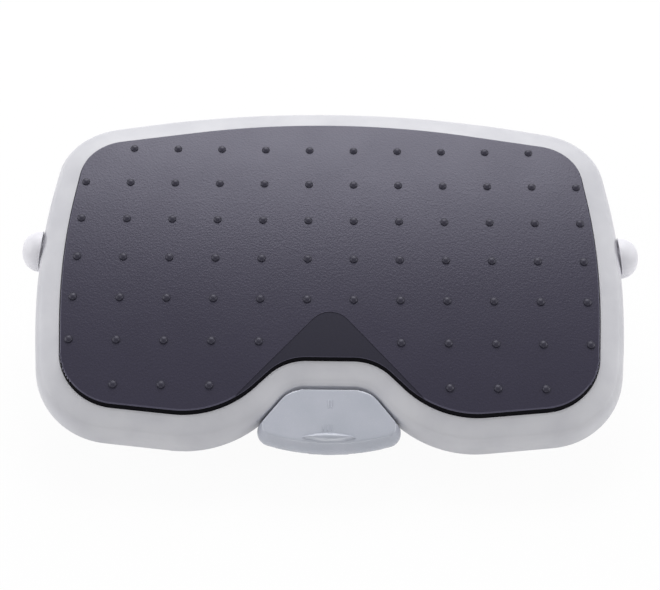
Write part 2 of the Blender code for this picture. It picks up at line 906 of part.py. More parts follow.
def pedal_rear_reach():
    """How far in front of the mat's middle the pedal's back edge lies."""
    return -pedal_top_shares[-1][1] * mat_half_width


def make_foot_pedal():
    """The pedal: a rounded shell with a toe ridge, two webs, a hinge barrel and an arm for the rod."""
    pedal = combine(pedal_shell(0), crowned_slab(pedal_drop, pedal_depth), "INTERSECT")
    round_edges(pedal, pedal_edge_radius, 3)
    hollow = crowned_slab(pedal_drop + pedal_wall, 2 * pedal_depth)
    cut(pedal, combine(pedal_shell(pedal_wall), hollow, "INTERSECT"))
    join(pedal, toe_ridge())
    place = (0, -hinge_reach, -hinge_drop)
    for side in (-1, 1):
        low = side * web_x - web_thickness / 2
        join(pedal, plate_x(web_outline(), low, low + web_thickness))
    join(pedal, rod(barrel_radius, -barrel_half_length, barrel_half_length, round_steps, "X", place))
    arm_low = (-arm_half_width, -hinge_reach - arm_thickness / 2, -hinge_drop)
    arm = block(arm_low, (arm_half_width, -hinge_reach + arm_thickness / 2, -arm_top_drop))
    join(pedal, arm)
    reach = barrel_half_length + overrun
    cut(pedal, rod(hinge_pin_radius + seat_gap, -reach, reach, small_steps, "X", place))
    eye = rod(
        arm_hole_radius,
        -hinge_reach - arm_thickness,
        -hinge_reach + arm_thickness,
        small_steps,
        "Y",
        (0, 0, -rod_drop),
    )
    return cut(pedal, eye)


def make_brake_shoe():
    """The block that the spring pushes back, bored for the rod."""
    low = (-shoe_half_width, -shoe_front, -rod_drop - shoe_half_height)
    shoe = block(low, (shoe_half_width, -shoe_back, -rod_drop + shoe_half_height))
    bore = rod_radius + seat_gap
    front = -shoe_front - overrun
    return cut(shoe, rod(bore, front, -shoe_bore_end, small_steps, "Y", (0, 0, -rod_drop)))


def make_brake_pad():
    """The rubber facing on the shoe, hollowed to the sector's curve."""
    low = (-shoe_half_width, -shoe_back + seat_gap, -rod_drop - pad_half_height)
    pad = block(low, (shoe_half_width, -cheek_back / 2, -rod_drop + pad_half_height))
    place = (0, pivot_back, -pivot_drop)
    reach = shoe_half_width + overrun
    face = rod(sector_radius + seat_gap, -reach, reach, fine_steps * 3, "X", place)
    return cut(pad, face)


def make_pull_rod():
    """The rod from the shoe to the pedal's arm."""
    front = -hinge_reach - rod_front_reach
    return rod(rod_radius, front, -rod_end, small_steps, "Y", (0, 0, -rod_drop))


def make_rod_nut():
    """The nut in front of the pedal's arm, domed where the arm rocks on it."""
    back = -hinge_reach - arm_thickness / 2 - nut_gap
    front = back - nut_thickness
    place = (0, 0, -rod_drop)
    dome = (nut_radius * nut_dome_share, back)
    profile = [(0, front), (nut_radius, front), (nut_radius, back - nut_dome), dome, (0, back)]
    nut = turned(profile, 6, "Y", place)
    bore = rod_radius + seat_gap
    return cut(nut, rod(bore, front - overrun, back + overrun, small_steps, "Y", place))


def spring_points():
    """The spring's centreline: a plain helix round the rod, from the cradle's wall to the shoe."""
    inset = spring_wire_radius + seat_gap
    low, high = -wall_back + inset, -shoe_front - inset
    count = round(spring_turns * spring_points_per_turn)
    points = []
    for step in range(count + 1):
        angle = 2 * math.pi * spring_turns * step / count
        y = low + (high - low) * step / count
        x, z = spring_coil_radius * math.cos(angle), spring_coil_radius * math.sin(angle)
        points.append(Vector((x, y, z - rod_drop)))
    return points


def make_release_spring():
    """The compression spring that presses the shoe on the sector, one unbroken coil."""
    points = spring_points()
    curve = bpy.data.curves.new("spring", "CURVE")
    curve.dimensions = "3D"
    curve.bevel_depth = spring_wire_radius
    curve.bevel_resolution = 1
    curve.use_fill_caps = True
    line = curve.splines.new("POLY")
    line.points.add(len(points) - 1)
    for point, place in zip(line.points, points):
        point.co = (*place, 1)
    coil = bpy.data.objects.new("spring", curve)
    bpy.context.scene.collection.objects.link(coil)
    bpy.context.view_layer.update()
    graph = bpy.context.evaluated_depsgraph_get()
    mesh = bpy.data.meshes.new_from_object(coil.evaluated_get(graph))
    bpy.data.objects.remove(coil)

    def fill(shape):
        shape.from_mesh(mesh)
        bmesh.ops.remove_doubles(shape, verts=shape.verts, dist=seat_gap / 100)

    return solid("spring", fill)


def report_spring_gap():
    """Prints the least gap between the spring's neighbouring turns."""
    points = spring_points()
    skip = round(spring_points_per_turn * spring_near_share)
    pairs = (
        (points[i] - points[j]).length for i in range(len(points)) for j in range(i + skip, len(points))
    )
    gap = min(pairs) - 2 * spring_wire_radius
    print(f"release_spring: least gap to itself {gap * 1000:.2f} mm, wanted over {spring_least_gap * 1000}")


def leg_flank():
    """The slope of a leg's flanks, tangent to its head, and the height at which they would meet."""
    rise, reach = pivot_height - leg_foot_height, leg_half_length
    slope = math.atan2(rise, reach) + math.asin(leg_head_radius / math.hypot(rise, reach))
    return slope, leg_foot_height + reach * math.tan(slope)


def leg_corners():
    """The side of a leg: a low triangle with blunt feet and a round head at the axle."""
    _, apex = leg_flank()
    floor = pad_foot_height + seat_gap
    return [
        (-leg_half_length, floor, leg_heel_radius, 3),
        (leg_half_length, floor, leg_heel_radius, 3),
        (leg_half_length, leg_foot_height, leg_toe_radius, 4),
        (0, apex, leg_head_radius, 8),
        (-leg_half_length, leg_foot_height, leg_toe_radius, 4),
    ]


def leg_pocket_corners():
    """The triangle inside a leg's edge flange."""
    slope, apex = leg_flank()
    floor = pad_foot_height + seat_gap
    reach = leg_half_length + (leg_foot_height - floor) / math.tan(slope)
    pocket_round = leg_flange + leg_rib / 2
    triangle = [(-reach, floor, pocket_round, 3), (reach, floor, pocket_round, 3)]
    return offset([*triangle, (0, apex, leg_head_radius, 8)], -leg_flange)


def rail_mid_height():
    """The height of the rails' middle above the floor."""
    return pad_foot_height + seat_gap + rail_height / 2


def leg_recess(low, high):
    """The open pockets on one face of a leg, between its flange, ribs and bosses."""
    recess = plate_x(rounded(leg_pocket_corners()), low, high)
    count = int(leg_half_length / leg_rib_spacing)
    for index in range(-count, count + 1):
        y = index * leg_rib_spacing
        rib_low = (low - overrun, y - leg_rib / 2, 0)
        cut(recess, block(rib_low, (high + overrun, y + leg_rib / 2, 2 * pivot_height)))
    bosses = [(0, pivot_height, axle_radius + leg_boss_wall)]
    for side in (-1, 1):
        bosses.append((side * rail_y, rail_mid_height(), frame_screw_radius + leg_boss_wall))
        bosses.append((side * pad_foot_y, pad_foot_height, pad_foot_stem_radius + leg_boss_wall))
    for y, z, radius in bosses:
        cut(recess, rod(radius, low - overrun, high + overrun, round_steps, "X", (0, y, z)))
    return recess


def make_leg(side):
    """A moulded leg with a web between ribbed pockets, bored for the axle, the screws and the feet."""
    low, high = sorted((side * leg_inner, side * (leg_inner + leg_width)))
    leg = plate_x(rounded(leg_corners()), low, high)
    depth = (leg_width - leg_web) / 2
    cut(leg, leg_recess(low - overrun, low + depth), leg_recess(high - depth, high + overrun))
    bores = [(0, pivot_height, axle_radius + seat_gap)]
    for end in (-1, 1):
        bores.append((end * rail_y, rail_mid_height(), frame_screw_radius + seat_gap))
    for y, z, radius in bores:
        cut(leg, rod(radius, low - overrun, high + overrun, round_steps, "X", (0, y, z)))
    stem = pad_foot_stem_radius + seat_gap
    for end in (-1, 1):
        place = ((low + high) / 2, end * pad_foot_y, 0)
        top = pad_foot_height + pad_foot_stem + 2 * seat_gap
        cut(leg, rod(stem, 0, top, small_steps, "Z", place))
    return leg


def make_foot():
    """A rubber foot with a stem that plugs into the leg."""
    edge = pad_foot_height / 5
    profile = [
        (0, 0),
        (pad_foot_radius - edge, 0),
        (pad_foot_radius, edge),
        (pad_foot_radius, pad_foot_height),
        (pad_foot_stem_radius, pad_foot_height),
        (pad_foot_stem_radius, pad_foot_height + pad_foot_stem),
        (0, pad_foot_height + pad_foot_stem),
    ]
    return turned(profile, round_steps)


def pocket_spans(start, end):
    """The ends of the pockets that share a stretch of a bar, with a wall between each."""
    if end - start < rail_wall:
        return []
    count = max(1, round((end - start + rail_wall) / (rail_pocket_length + rail_wall)))
    pitch = (end - start + rail_wall) / count
    return [(start + index * pitch, start + (index + 1) * pitch - rail_wall) for index in range(count)]


def make_rail():
    """A cross rail between the legs, pocketed from below, drawn along X with its middle at the origin."""
    half_length = leg_inner - seat_gap
    half_width, half_height = rail_width / 2, rail_height / 2
    rail = block((-half_length, -half_width, -half_height), (half_length, half_width, half_height))
    inner = rail_middle_block / 2
    outer = half_length - rail_end_block
    for side in (-1, 1):
        for span in pocket_spans(inner, outer):
            near, far = sorted(side * edge for edge in span)
            low = (near, rail_wall - half_width, -half_height - overrun)
            high = (far, half_width - rail_wall, rail_pocket_depth - half_height)
            cut(rail, block(low, high))
        end = half_length - frame_screw_bite - seat_gap
        ends = sorted((side * end, side * (half_length + overrun)))
        cut(rail, rod(frame_screw_radius + seat_gap, ends[0], ends[1], small_steps, "X"))
    reach = half_width + overrun
    return cut(rail, rod(frame_screw_radius + seat_gap, -reach, reach, small_steps, "Y"))


def make_centre_beam():
    """The beam between the rails that carries the brake post, pocketed from below."""
    half_length = rail_y - rail_width / 2 - seat_gap
    half_width, half_height = beam_width / 2, rail_height / 2
    beam = block((-half_width, -half_length, -half_height), (half_width, half_length, half_height))
    for side in (-1, 1):
        end = half_length - frame_screw_bite - seat_gap
        for span in pocket_spans(post_foot_half_length + rail_wall, end - rail_wall):
            near, far = sorted(side * edge for edge in span)
            low = (rail_wall - half_width, near, -half_height - overrun)
            high = (half_width - rail_wall, far, rail_pocket_depth - half_height)
            cut(beam, block(low, high))
        ends = sorted((side * end, side * (half_length + overrun)))
        cut(beam, rod(frame_screw_radius + seat_gap, ends[0], ends[1], small_steps, "Y"))
        place = (0, side * post_screw_y, 0)
        floor = half_height - frame_screw_bite
        cut(beam, rod(frame_screw_radius + seat_gap, floor, rail_height, small_steps, "Z", place))
    return beam


def sector_outline():
    """The brake sector about the axle: a serrated arc in front, a hub and a tail below."""
    points = []
    span = math.radians(sector_end_degrees - sector_start_degrees)
    start = math.radians(sector_start_degrees)
    for step in range(2 * sector_teeth + 1):
        angle = start + span * step / (2 * sector_teeth)
        radius = sector_radius - (tooth_depth if step % 2 else 0)
        points.append((-radius * math.cos(angle), -radius * math.sin(angle)))
    tail = sector_tail + sector_tail_radius
    inside = sector_hub_radius * hub_lap_share
    points += [(-sector_tail_radius, -tail), (sector_tail_radius, -tail), (inside, 0), (0, inside)]
    return points


def make_brake_sector():
    """The serrated steel sector that the brake pad grips."""
    half = sector_thickness / 2
    sector = plate_x(sector_outline(), -half, half)
    join(sector, rod(sector_hub_radius, -half, half, round_steps, "X"))
    reach = half + overrun
    cut(sector, rod(axle_radius + seat_gap, -reach, reach, round_steps, "X"))
    bolt = rod(sector_bolt_radius + seat_gap, -reach, reach, small_steps, "X", (0, 0, -sector_tail))
    return cut(sector, bolt)


def post_foot_top():
    """The height of the top of the post's foot, from the axle."""
    return rail_mid_height() + rail_height / 2 + seat_gap + post_foot_thickness - pivot_height


def make_brake_post():
    """The forked post on the beam that holds the sector and steadies the axle."""
    foot_top = post_foot_top()
    half_length, half_width = post_foot_half_length, post_foot_half_width
    low = (-half_width, -half_length, foot_top - post_foot_thickness)
    post = block(low, (half_width, half_length, foot_top))
    inner = sector_thickness / 2 + seat_gap
    flare, head_round = post_head_radius * post_flare_share, post_head_radius * full_round_share
    corners = [
        (-flare, foot_top - post_foot_thickness / 2, rod_radius, 2),
        (flare, foot_top - post_foot_thickness / 2, rod_radius, 2),
        (post_head_radius, post_head_radius, head_round, 6),
        (-post_head_radius, post_head_radius, head_round, 6),
    ]
    for low_x, high_x in ((-inner - post_cheek, -inner), (inner, inner + post_cheek)):
        join(post, plate_x(rounded(corners), low_x, high_x))
    web_low = (-inner - post_cheek / 2, -post_head_radius, foot_top - post_foot_thickness / 2)
    join(post, block(web_low, (inner + post_cheek / 2, post_head_radius, -post_web_top)))
    reach = inner + post_cheek + overrun
    cut(post, rod(axle_radius + seat_gap, -reach, reach, round_steps, "X"))
    cut(post, rod(sector_bolt_radius + seat_gap, -reach, reach, small_steps, "X", (0, 0, -sector_tail)))
    for side in (-1, 1):
        place = (0, side * post_screw_y, 0)
        bottom = foot_top - 2 * post_foot_thickness
        hole = rod(frame_screw_radius + seat_gap, bottom, foot_top + overrun, small_steps, "Z", place)
        cut(post, hole)
    return post


def make_sector_nut():
    """The nut on the sector's bolt."""
    face = sector_thickness / 2 + seat_gap + post_cheek + seat_gap
    place = (0, 0, -sector_tail)
    nut = rod(nut_radius, face, face + nut_thickness, 6, "X", place)
    bore = sector_bolt_radius + seat_gap
    return cut(nut, rod(bore, face - overrun, face + nut_thickness + overrun, small_steps, "X", place))


def make_axle():
    """The steel axle right across the footrest."""
    return rod(axle_radius, -axle_half_length, axle_half_length, round_steps, "X")


def make_hub_cap(side):
    """The domed cap on an axle end, outside the tray's skirt."""
    start = leg_inner + leg_width + seat_gap
    face = rim_half_width + cap_clearance
    widest = face + cap_back
    bore = axle_radius + seat_gap
    profile = [
        (0, axle_half_length + seat_gap),
        (bore, axle_half_length + seat_gap),
        (bore, start),
        (cap_neck_radius, start),
        (cap_neck_radius, face),
    ]
    for step in range(cap_back_steps):
        angle = math.pi / 2 * step / cap_back_steps
        radius = cap_face_radius + (cap_radius - cap_face_radius) * math.sin(angle)
        profile.append((radius, widest - cap_back * math.cos(angle)))
    for step in range(cap_dome_steps + 1):
        angle = math.pi / 2 * step / cap_dome_steps
        radius = cap_radius * math.cos(angle) ** cap_fullness if step < cap_dome_steps else 0
        profile.append((radius, widest + (cap_tip - widest) * math.sin(angle)))
    return turned(profile, fine_steps, "X" if side > 0 else "-X")


def build_base(materials, frame):
    """The legs, rails, feet, axle and brake post, which stand on the floor."""
    grey, rubber, steel = (materials[key] for key in ("frame_grey", "foot_rubber", "plated_steel"))
    axle_place = (0, 0, pivot_height)
    for name, side in (("left", -1), ("right", 1)):
        finish(make_leg(side), f"{name}_leg", grey, frame)
        finish(make_hub_cap(side), f"{name}_hub_cap", grey, frame, axle_place)
        for end_name, end in (("front", -1), ("rear", 1)):
            place = (side * (leg_inner + leg_width / 2), end * pad_foot_y, 0)
            finish(make_foot(), f"{end_name}_{name}_foot", rubber, frame, place)
            head_at = (side * (leg_inner + leg_width + seat_gap), 0, 0)
            fixing = screw(
                frame_screw_head_radius,
                frame_screw_head_height,
                frame_screw_radius,
                leg_width + frame_screw_bite,
                "X" if side > 0 else "-X",
                head_at,
            )
            place = (0, end * rail_y, rail_mid_height())
            finish(fixing, f"{end_name}_{name}_rail_screw", steel, frame, place)
    for name, end in (("front", -1), ("rear", 1)):
        finish(make_rail(), f"{name}_rail", grey, frame, (0, end * rail_y, rail_mid_height()))
        fixing = screw(
            frame_screw_head_radius,
            frame_screw_head_height,
            frame_screw_radius,
            rail_width + frame_screw_bite,
            "Y" if end > 0 else "-Y",
            (0, end * (rail_width / 2 + seat_gap), 0),
        )
        place = (0, end * rail_y, rail_mid_height())
        finish(fixing, f"{name}_beam_screw", steel, frame, place)
        fixing = screw(
            frame_screw_head_radius,
            frame_screw_head_height,
            frame_screw_radius,
            post_foot_thickness + frame_screw_bite - overrun,
            "Z",
            (0, end * post_screw_y, post_foot_top() + seat_gap),
        )
        finish(fixing, f"{name}_post_screw", steel, frame, axle_place)
    finish(make_centre_beam(), "centre_beam", grey, frame, (0, 0, rail_mid_height()))
    finish(make_axle(), "pivot_axle", steel, frame, axle_place)
    finish(make_brake_post(), "brake_post", materials["mechanism_black"], frame, axle_place)
    finish(make_brake_sector(), "brake_sector", materials["sector_steel"], frame, axle_place)
    face = sector_thickness / 2 + seat_gap + post_cheek + seat_gap
    bolt = screw(
        screw_head_radius,
        screw_head_height,
        sector_bolt_radius,
        2 * face + nut_thickness,
        "-X",
        (-face, 0, -sector_tail),
    )
    finish(bolt, "sector_bolt", steel, frame, axle_place)
    finish(make_sector_nut(), "sector_nut", steel, frame, axle_place)


def build_platform(materials, frame):
    """The tray, the mat and what hangs under them, which rock about the axle."""
    home = (0, -pivot_back, pivot_drop)
    steel = materials["plated_steel"]
    finish(make_platform_tray(), "platform_tray", materials["rim_grey"], frame, home)
    finish(make_grip_mat(), "grip_mat", materials["mat_rubber"], frame, home)
    for name, side in (("left", -1), ("right", 1)):
        finish(make_pivot_block(side), f"{name}_pivot_block", materials["mechanism_black"], frame, home)
        finish(make_bush(side), f"{name}_bush", materials["bush_plastic"], frame, home)
    finish(make_release_cradle(), "release_cradle", materials["mechanism_black"], frame, home)
    finish(make_pedal_pin(), "pedal_pin", steel, frame, home)
    finish(make_pin_clip(), "pin_clip", steel, frame, home)
    finish(make_release_spring(), "release_spring", steel, frame, home)
    block_face = -block_pad_drop() - block_flange - 2 * seat_gap
    cradle_face = -cradle_pad_drop - cradle_plate - 2 * seat_gap
    length = block_flange + pilot_depth
    for places, face in ((block_screw_places(), block_face), (cradle_screw_places(), cradle_face)):
        for name, (x, y) in places.items():
            place = (x, y, face)
            fixing = screw(screw_head_radius, screw_head_height, screw_radius, length, "-Z", place)
            finish(fixing, name, steel, frame, home)


def build_pedal(materials, frame):
    """The pedal, which turns on its pin."""
    finish(make_foot_pedal(), "foot_pedal", materials["pedal_grey"], frame, (0, hinge_reach, hinge_drop))


def build_brake(materials, frame):
    """The shoe, its pad, the rod and the nut, which the pedal draws forward."""
    home = (0, -pivot_back, pivot_drop)
    finish(make_brake_shoe(), "brake_shoe", materials["bush_plastic"], frame, home)
    finish(make_brake_pad(), "brake_pad", materials["foot_rubber"], frame, home)
    finish(make_pull_rod(), "pull_rod", materials["plated_steel"], frame, home)
    finish(make_rod_nut(), "rod_nut", materials["plated_steel"], frame, home)


def centre_over_origin(root):
    """Moves the whole footrest along Y so that its box is centred over the origin."""
    bpy.context.view_layer.update()
    reach = [
        (item.matrix_world @ vert.co).y
        for item in bpy.data.objects
        if item.type == "MESH"
        for vert in item.data.vertices
    ]
    root.location.y = -(min(reach) + max(reach)) / 2
    bpy.context.view_layer.update()


def report_axes(root, platform, pedal):
    """Prints where the joints lie in the world."""
    for name, frame in (("root", root), ("tilt axis", platform), ("pedal axis", pedal)):
        place = frame.matrix_world.translation
        print(f"{name}: {place.x:.5f} {place.y:.5f} {place.z:.5f}")


def main():
    """Builds the footrest."""
    clear_scene()
    materials = make_materials()
    root = add_frame("footrest", None, (0, 0, 0))
    base = add_frame("base_frame", root, (0, 0, 0))
    tilt = math.radians(rest_tilt_degrees)
    platform = add_frame("platform_frame", root, (0, 0, pivot_height), tilt)
    hinge = (0, -pivot_back - hinge_reach, pivot_drop - hinge_drop)
    pedal = add_frame("pedal_frame", platform, hinge)
    brake = add_frame("brake_frame", platform, (0, 0, 0))
    build_base(materials, base)
    build_platform(materials, platform)
    build_pedal(materials, pedal)
    build_brake(materials, brake)
    report_spring_gap()
    centre_over_origin(root)
    report_axes(root, platform, pedal)


main()
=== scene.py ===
"""Studio scene of the ergonomic footrest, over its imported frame.

Metres. The platform's pieces are drawn in platform coordinates, with the origin at the middle of the mat's
top and z square to the mat there, and are then turned with the platform into the room.
"""

import json
import math
from contextlib import contextmanager

import bmesh
import bpy
from mathutils import Matrix, Vector


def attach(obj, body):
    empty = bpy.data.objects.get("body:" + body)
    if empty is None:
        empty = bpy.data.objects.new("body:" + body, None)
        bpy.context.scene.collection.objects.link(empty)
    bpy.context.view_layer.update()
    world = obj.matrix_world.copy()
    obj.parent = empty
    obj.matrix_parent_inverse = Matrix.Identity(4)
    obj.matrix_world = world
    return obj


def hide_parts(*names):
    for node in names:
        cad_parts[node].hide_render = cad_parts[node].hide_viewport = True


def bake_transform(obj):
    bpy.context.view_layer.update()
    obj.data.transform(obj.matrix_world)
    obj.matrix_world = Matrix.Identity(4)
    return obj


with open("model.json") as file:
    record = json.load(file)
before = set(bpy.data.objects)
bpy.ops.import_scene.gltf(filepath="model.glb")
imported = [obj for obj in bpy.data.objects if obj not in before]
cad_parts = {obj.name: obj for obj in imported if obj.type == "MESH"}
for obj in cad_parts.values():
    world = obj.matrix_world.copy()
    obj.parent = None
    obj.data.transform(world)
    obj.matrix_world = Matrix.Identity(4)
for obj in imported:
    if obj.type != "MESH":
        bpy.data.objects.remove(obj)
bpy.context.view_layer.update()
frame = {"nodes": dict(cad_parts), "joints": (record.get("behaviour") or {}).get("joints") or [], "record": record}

# Meshes
millimetre = 0.001
weld_distance = 0.000002
solid_weld_distance = 0.00001
flat_degrees = 1.0
level_degrees = 30.0
sharp_degrees = 12.0
broken_edge = 0.0004
broken_edge_degrees = 50.0
broken_edge_steps = 2
shading_weight = 80
rod_steps = 48

# Stance, as in the frame
rest_tilt_degrees = 15.0
pivot_back = 0.020
pivot_drop = 0.026

# Right side's corners from above, front to back: x, y and radius as shares of the mat's half width
mat_half_width = 0.2385
mat_corner_shares = (
    (0.163, -0.416, 0.191),
    (0.390, -0.639, 0.363),
    (0.960, -0.584, 0.225),
    (1.010, 0.000, 3.141),
    (0.960, 0.532, 0.179),
    (0.000, 0.706, 3.050),
)
rim_corner_shares = (
    (0.1505, -0.496, 0.115),
    (0.305, -0.738, 0.419),
    (1.0455, -0.664, 0.3025),
    (1.121, 0.000, 3.144),
    (1.0545, 0.631, 0.265),
    (0.000, 0.858, 3.836),
)
platform_corner_steps = (16, 18, 22, 18, 22, 48)
pedal_top_shares = ((0.000, -0.732, 0.880), (0.270, -0.668, 0.038), (0.143, -0.510, 0.101))
pedal_bulge_shares = ((0.000, -0.760, 0.800), (0.302, -0.674, 0.050), (0.143, -0.510, 0.101))
pedal_corner_steps = (40, 18, 18)

# Crown of the mat's top
crown_radius = 1.110
crown_reach = 0.200
crown_steps = 60
slab_half_width = 0.300

# Grip mat
mat_thickness = 0.0047
mat_edge_radius = 0.0010
mat_edge_steps = 4
mat_wall_depth = 0.0034
mat_draft = 0.0007
mat_front_draft = 0.0015
mat_front_gap = 0.0014
mat_wall_upward = 0.72
mat_edge_upward = 0.985
bump_pitch = 0.041
bump_columns = 12
bump_rows = 7
bump_margin = 0.0065
bump_radius = 0.0037
bump_height = 0.0025
bump_segments = 24
bump_rings = 14
panel_depth = 0.0003
panel_apex_reach = 0.0433
panel_flank_degrees = 48.0
panel_apex_radius = 0.020
panel_apex_steps = 24
panel_flank_reach = 0.100

# Tray rim, with its section's points as shares of the way out and of the skirt's depth
skirt_depth = 0.0250
rim_crest_shares = (
    (0.028, 0.140),
    (0.600, 0.300),
    (0.760, 0.385),
    (0.880, 0.530),
    (0.955, 0.740),
    (1.000, 1.000),
)
rim_lip_shares = (
    (0.028, 0.140),
    (0.600, 0.275),
    (0.790, 0.335),
    (0.910, 0.390),
    (0.980, 0.500),
    (1.000, 1.000),
)
rim_lip_half_width = 0.076
rim_lip_fade = 0.022
rim_inside_shares = (
    (0.885, 1.000),
    (0.840, 0.770),
    (0.740, 0.575),
    (0.570, 0.440),
    (-0.140, 0.310),
    (-0.140, 0.240),
    (0.028, 0.240),
)
rim_smooth_steps = 4
rim_pull_share = 0.6
skin_lift = 0.00015
arch_radius = 0.0100

# Hubs
leg_outer = 0.2440
cap_tip = 0.2802
cap_radius = 0.0185
cap_neck_radius = 0.0085
cap_face = 0.26374
cap_depth = 0.2560
cap_lean = 0.18
cap_bite = 0.0010
cap_dome_steps = 24
cap_turn_steps = 96
cap_fullness = 0.85
axle_bore = 0.0053
axle_half_length = 0.2523

# Pedal, with its nose's points as a share of the way out to the bulge and a depth
pedal_drop = 0.0080
pedal_depth = 0.0230
pedal_nose = (
    (0.00, 0.0000),
    (0.00, 0.0205),
    (0.80, 0.0270),
    (0.92, 0.0284),
    (0.98, 0.0298),
    (1.00, 0.0315),
    (1.00, 0.0580),
)
pedal_voxel = 0.0007
pedal_smooth_rounds = 26
pedal_wall = 0.0026
hinge_reach = 0.1080
hinge_drop = 0.0490
hinge_bore = 0.0033
barrel_radius = 0.0060
barrel_half_length = 0.0140
arm_thickness = 0.0040
arm_half_width = 0.0065
arm_top_drop = 0.0305
arm_hole_radius = 0.0033
web_x = 0.0100
web_thickness = 0.0030
web_shoulder_drop = 0.0332
web_front_reach = 0.1560
web_seat = 0.0014
web_nose_shares = (0.9, 0.5, 0.8)

# Toe ridge, with its profile's points as shares of the way forward and of its height
toe_ridge_half_width = 0.0225
toe_ridge_back = 0.1589
toe_ridge_depth = 0.0051
toe_ridge_height = 0.0024
toe_ridge_taper = 0.3
toe_ridge_back_bow_share = 0.75
toe_ridge_front_bow_share = 0.60
toe_ridge_end_share = 1.08
toe_ridge_steps = 48
toe_ridge_reach_share = 0.995
toe_ridge_profile = (
    (0.00, 0.00),
    (0.05, 0.12),
    (0.15, 0.42),
    (0.25, 0.72),
    (0.35, 0.92),
    (0.44, 1.00),
    (0.54, 0.98),
    (0.70, 0.78),
    (0.85, 0.42),
    (0.95, 0.12),
    (1.00, 0.00),
)

# Marks on the pedal, each stroke with its x and its back and front ends
mark_height = 0.0006
mark_width = 0.0011
mark_round_share = 0.96
mark_corner_steps = 5
mark_strokes = (
    (-0.0008, -0.1312, -0.1385),
    (0.0021, -0.1318, -0.1385),
    (-0.0052, -0.1535, -0.1583),
    (-0.0012, -0.1530, -0.1583),
    (0.0022, -0.1530, -0.1583),
)

# Fasteners
screw_head_radius = 0.0042
screw_head_height = 0.0024
screw_radius = 0.0020
frame_screw_head_radius = 0.0052
frame_screw_head_height = 0.0030
frame_screw_radius = 0.0026
shank_steps = 20
screw_turn_steps = 32
screw_pan_steps = 8
screw_pan_fullness = 0.45
screw_wall_share = 0.35
screw_seat_share = 0.97
screw_rise_share = 0.08
screw_recess_arm_share = 0.62
screw_recess_width_share = 0.24
screw_recess_depth_share = 0.62

# Release spring, in platform coordinates
rod_drop = 0.0360
wall_back = 0.0600
shoe_front = 0.0380
seat_gap = 0.0003
spring_wire_radius = 0.0007
spring_coil_radius = 0.0050
spring_turns = 5.5
spring_coil_steps = 48
spring_wire_steps = 14

# Photograph's camera, in platform coordinates
camera_place = (-0.00725, -0.66300, 1.08190)
camera_elevation_degrees = 59.94
camera_yaw_degrees = 0.63
camera_roll_degrees = 1.21
focal_pixels = 1425.8
photo_width_pixels = 660
sensor_width_millimetres = 36
camera_near = 0.05
camera_far = 20

# Studio, each softbox with its place, its width and height, and its watts
softboxes = {
    "rear_softbox": ((0.0, 1.4, 1.75), (1.8, 1.3), 43),
    "front_softbox": ((0.0, -2.0, 0.3), (1.8, 0.5), 9),
    "left_softbox": ((-1.7, -0.1, 0.8), (1.4, 0.9), 13.5),
    "right_softbox": ((1.7, -0.1, 0.8), (1.4, 0.9), 12.5),
}
softbox_target = (0, 0, 0.1)
room_level = 0.15
floor_half_width = 6
floor_colour = "F4F4F4"
floor_roughness = 0.9
floor_glow_share = 0.955

# Finishes
rubber_bloom = "EDEBFF"
pattern_start = 0.35
pattern_end = 0.65

bodies = frame["record"]["behaviour"]["bodies"]
axle = Vector(next(joint["pos_m"] for joint in frame["joints"] if joint["name"] == "platform_tilt"))
platform_turn = Matrix.Rotation(math.radians(rest_tilt_degrees), 4, "X")
platform_home = Matrix.Translation(axle) @ platform_turn @ Matrix.Translation((0, -pivot_back, pivot_drop))

# Turns that lay Z across, along X, and forward, along minus Y
across = Matrix.Rotation(math.pi / 2, 4, "Y")
forward = Matrix.Rotation(math.pi / 2, 4, "X")


# Shapes


def new_object(name, data):
    """A new object in the scene."""
    made = bpy.data.objects.new(name, data)
    bpy.context.scene.collection.objects.link(made)
    return made


def solid(name, mesh_maker):
    """A new object whose mesh is filled by mesh_maker, with its faces pointing out."""
    shape = bmesh.new()
    mesh_maker(shape)
    bmesh.ops.recalc_face_normals(shape, faces=shape.faces)
    if shape.calc_volume(signed=True) < 0:
        bmesh.ops.reverse_faces(shape, faces=shape.faces)
    mesh = bpy.data.meshes.new(name)
    shape.to_mesh(mesh)
    shape.free()
    return new_object(name, mesh)


@contextmanager
def editing(item, weld=weld_distance):
    """An object's mesh, opened for changes with its doubled points welded."""
    shape = bmesh.new()
    shape.from_mesh(item.data)
    bmesh.ops.remove_doubles(shape, verts=shape.verts, dist=weld)
    yield shape
    shape.to_mesh(item.data)
    shape.free()


def bake(item):
    """Keeps what an object's modifiers make as its own mesh."""
    bpy.context.view_layer.update()
    graph = bpy.context.evaluated_depsgraph_get()
    item.data = bpy.data.meshes.new_from_object(item.evaluated_get(graph))
    item.modifiers.clear()
    return item


def combine(item, other, operation):
    """Joins another solid to an object, cuts it away or keeps what they share."""
    step = item.modifiers.new(operation.lower(), "BOOLEAN")
    step.operation = operation
    step.object = other
    bake(item)
    bpy.data.objects.remove(other)
    return item


def prism(points, low, high):
    """A flat outline in X and Y, raised from low to high."""

    def fill(shape):
        face = shape.faces.new([shape.verts.new((x, y, low)) for x, y in points])
        raised = bmesh.ops.extrude_face_region(shape, geom=[face])
        tops = [item for item in raised["geom"] if isinstance(item, bmesh.types.BMVert)]
        bmesh.ops.translate(shape, verts=tops, vec=(0, 0, high - low))

    return solid("prism", fill)


def plate_x(points, low, high):
    """A flat outline in Y and Z, thick from low to high along X."""
    made = prism(points, low, high)
    made.data.transform(Matrix(((0, 0, 1, 0), (1, 0, 0, 0), (0, 1, 0, 0), (0, 0, 0, 1))))
    return made


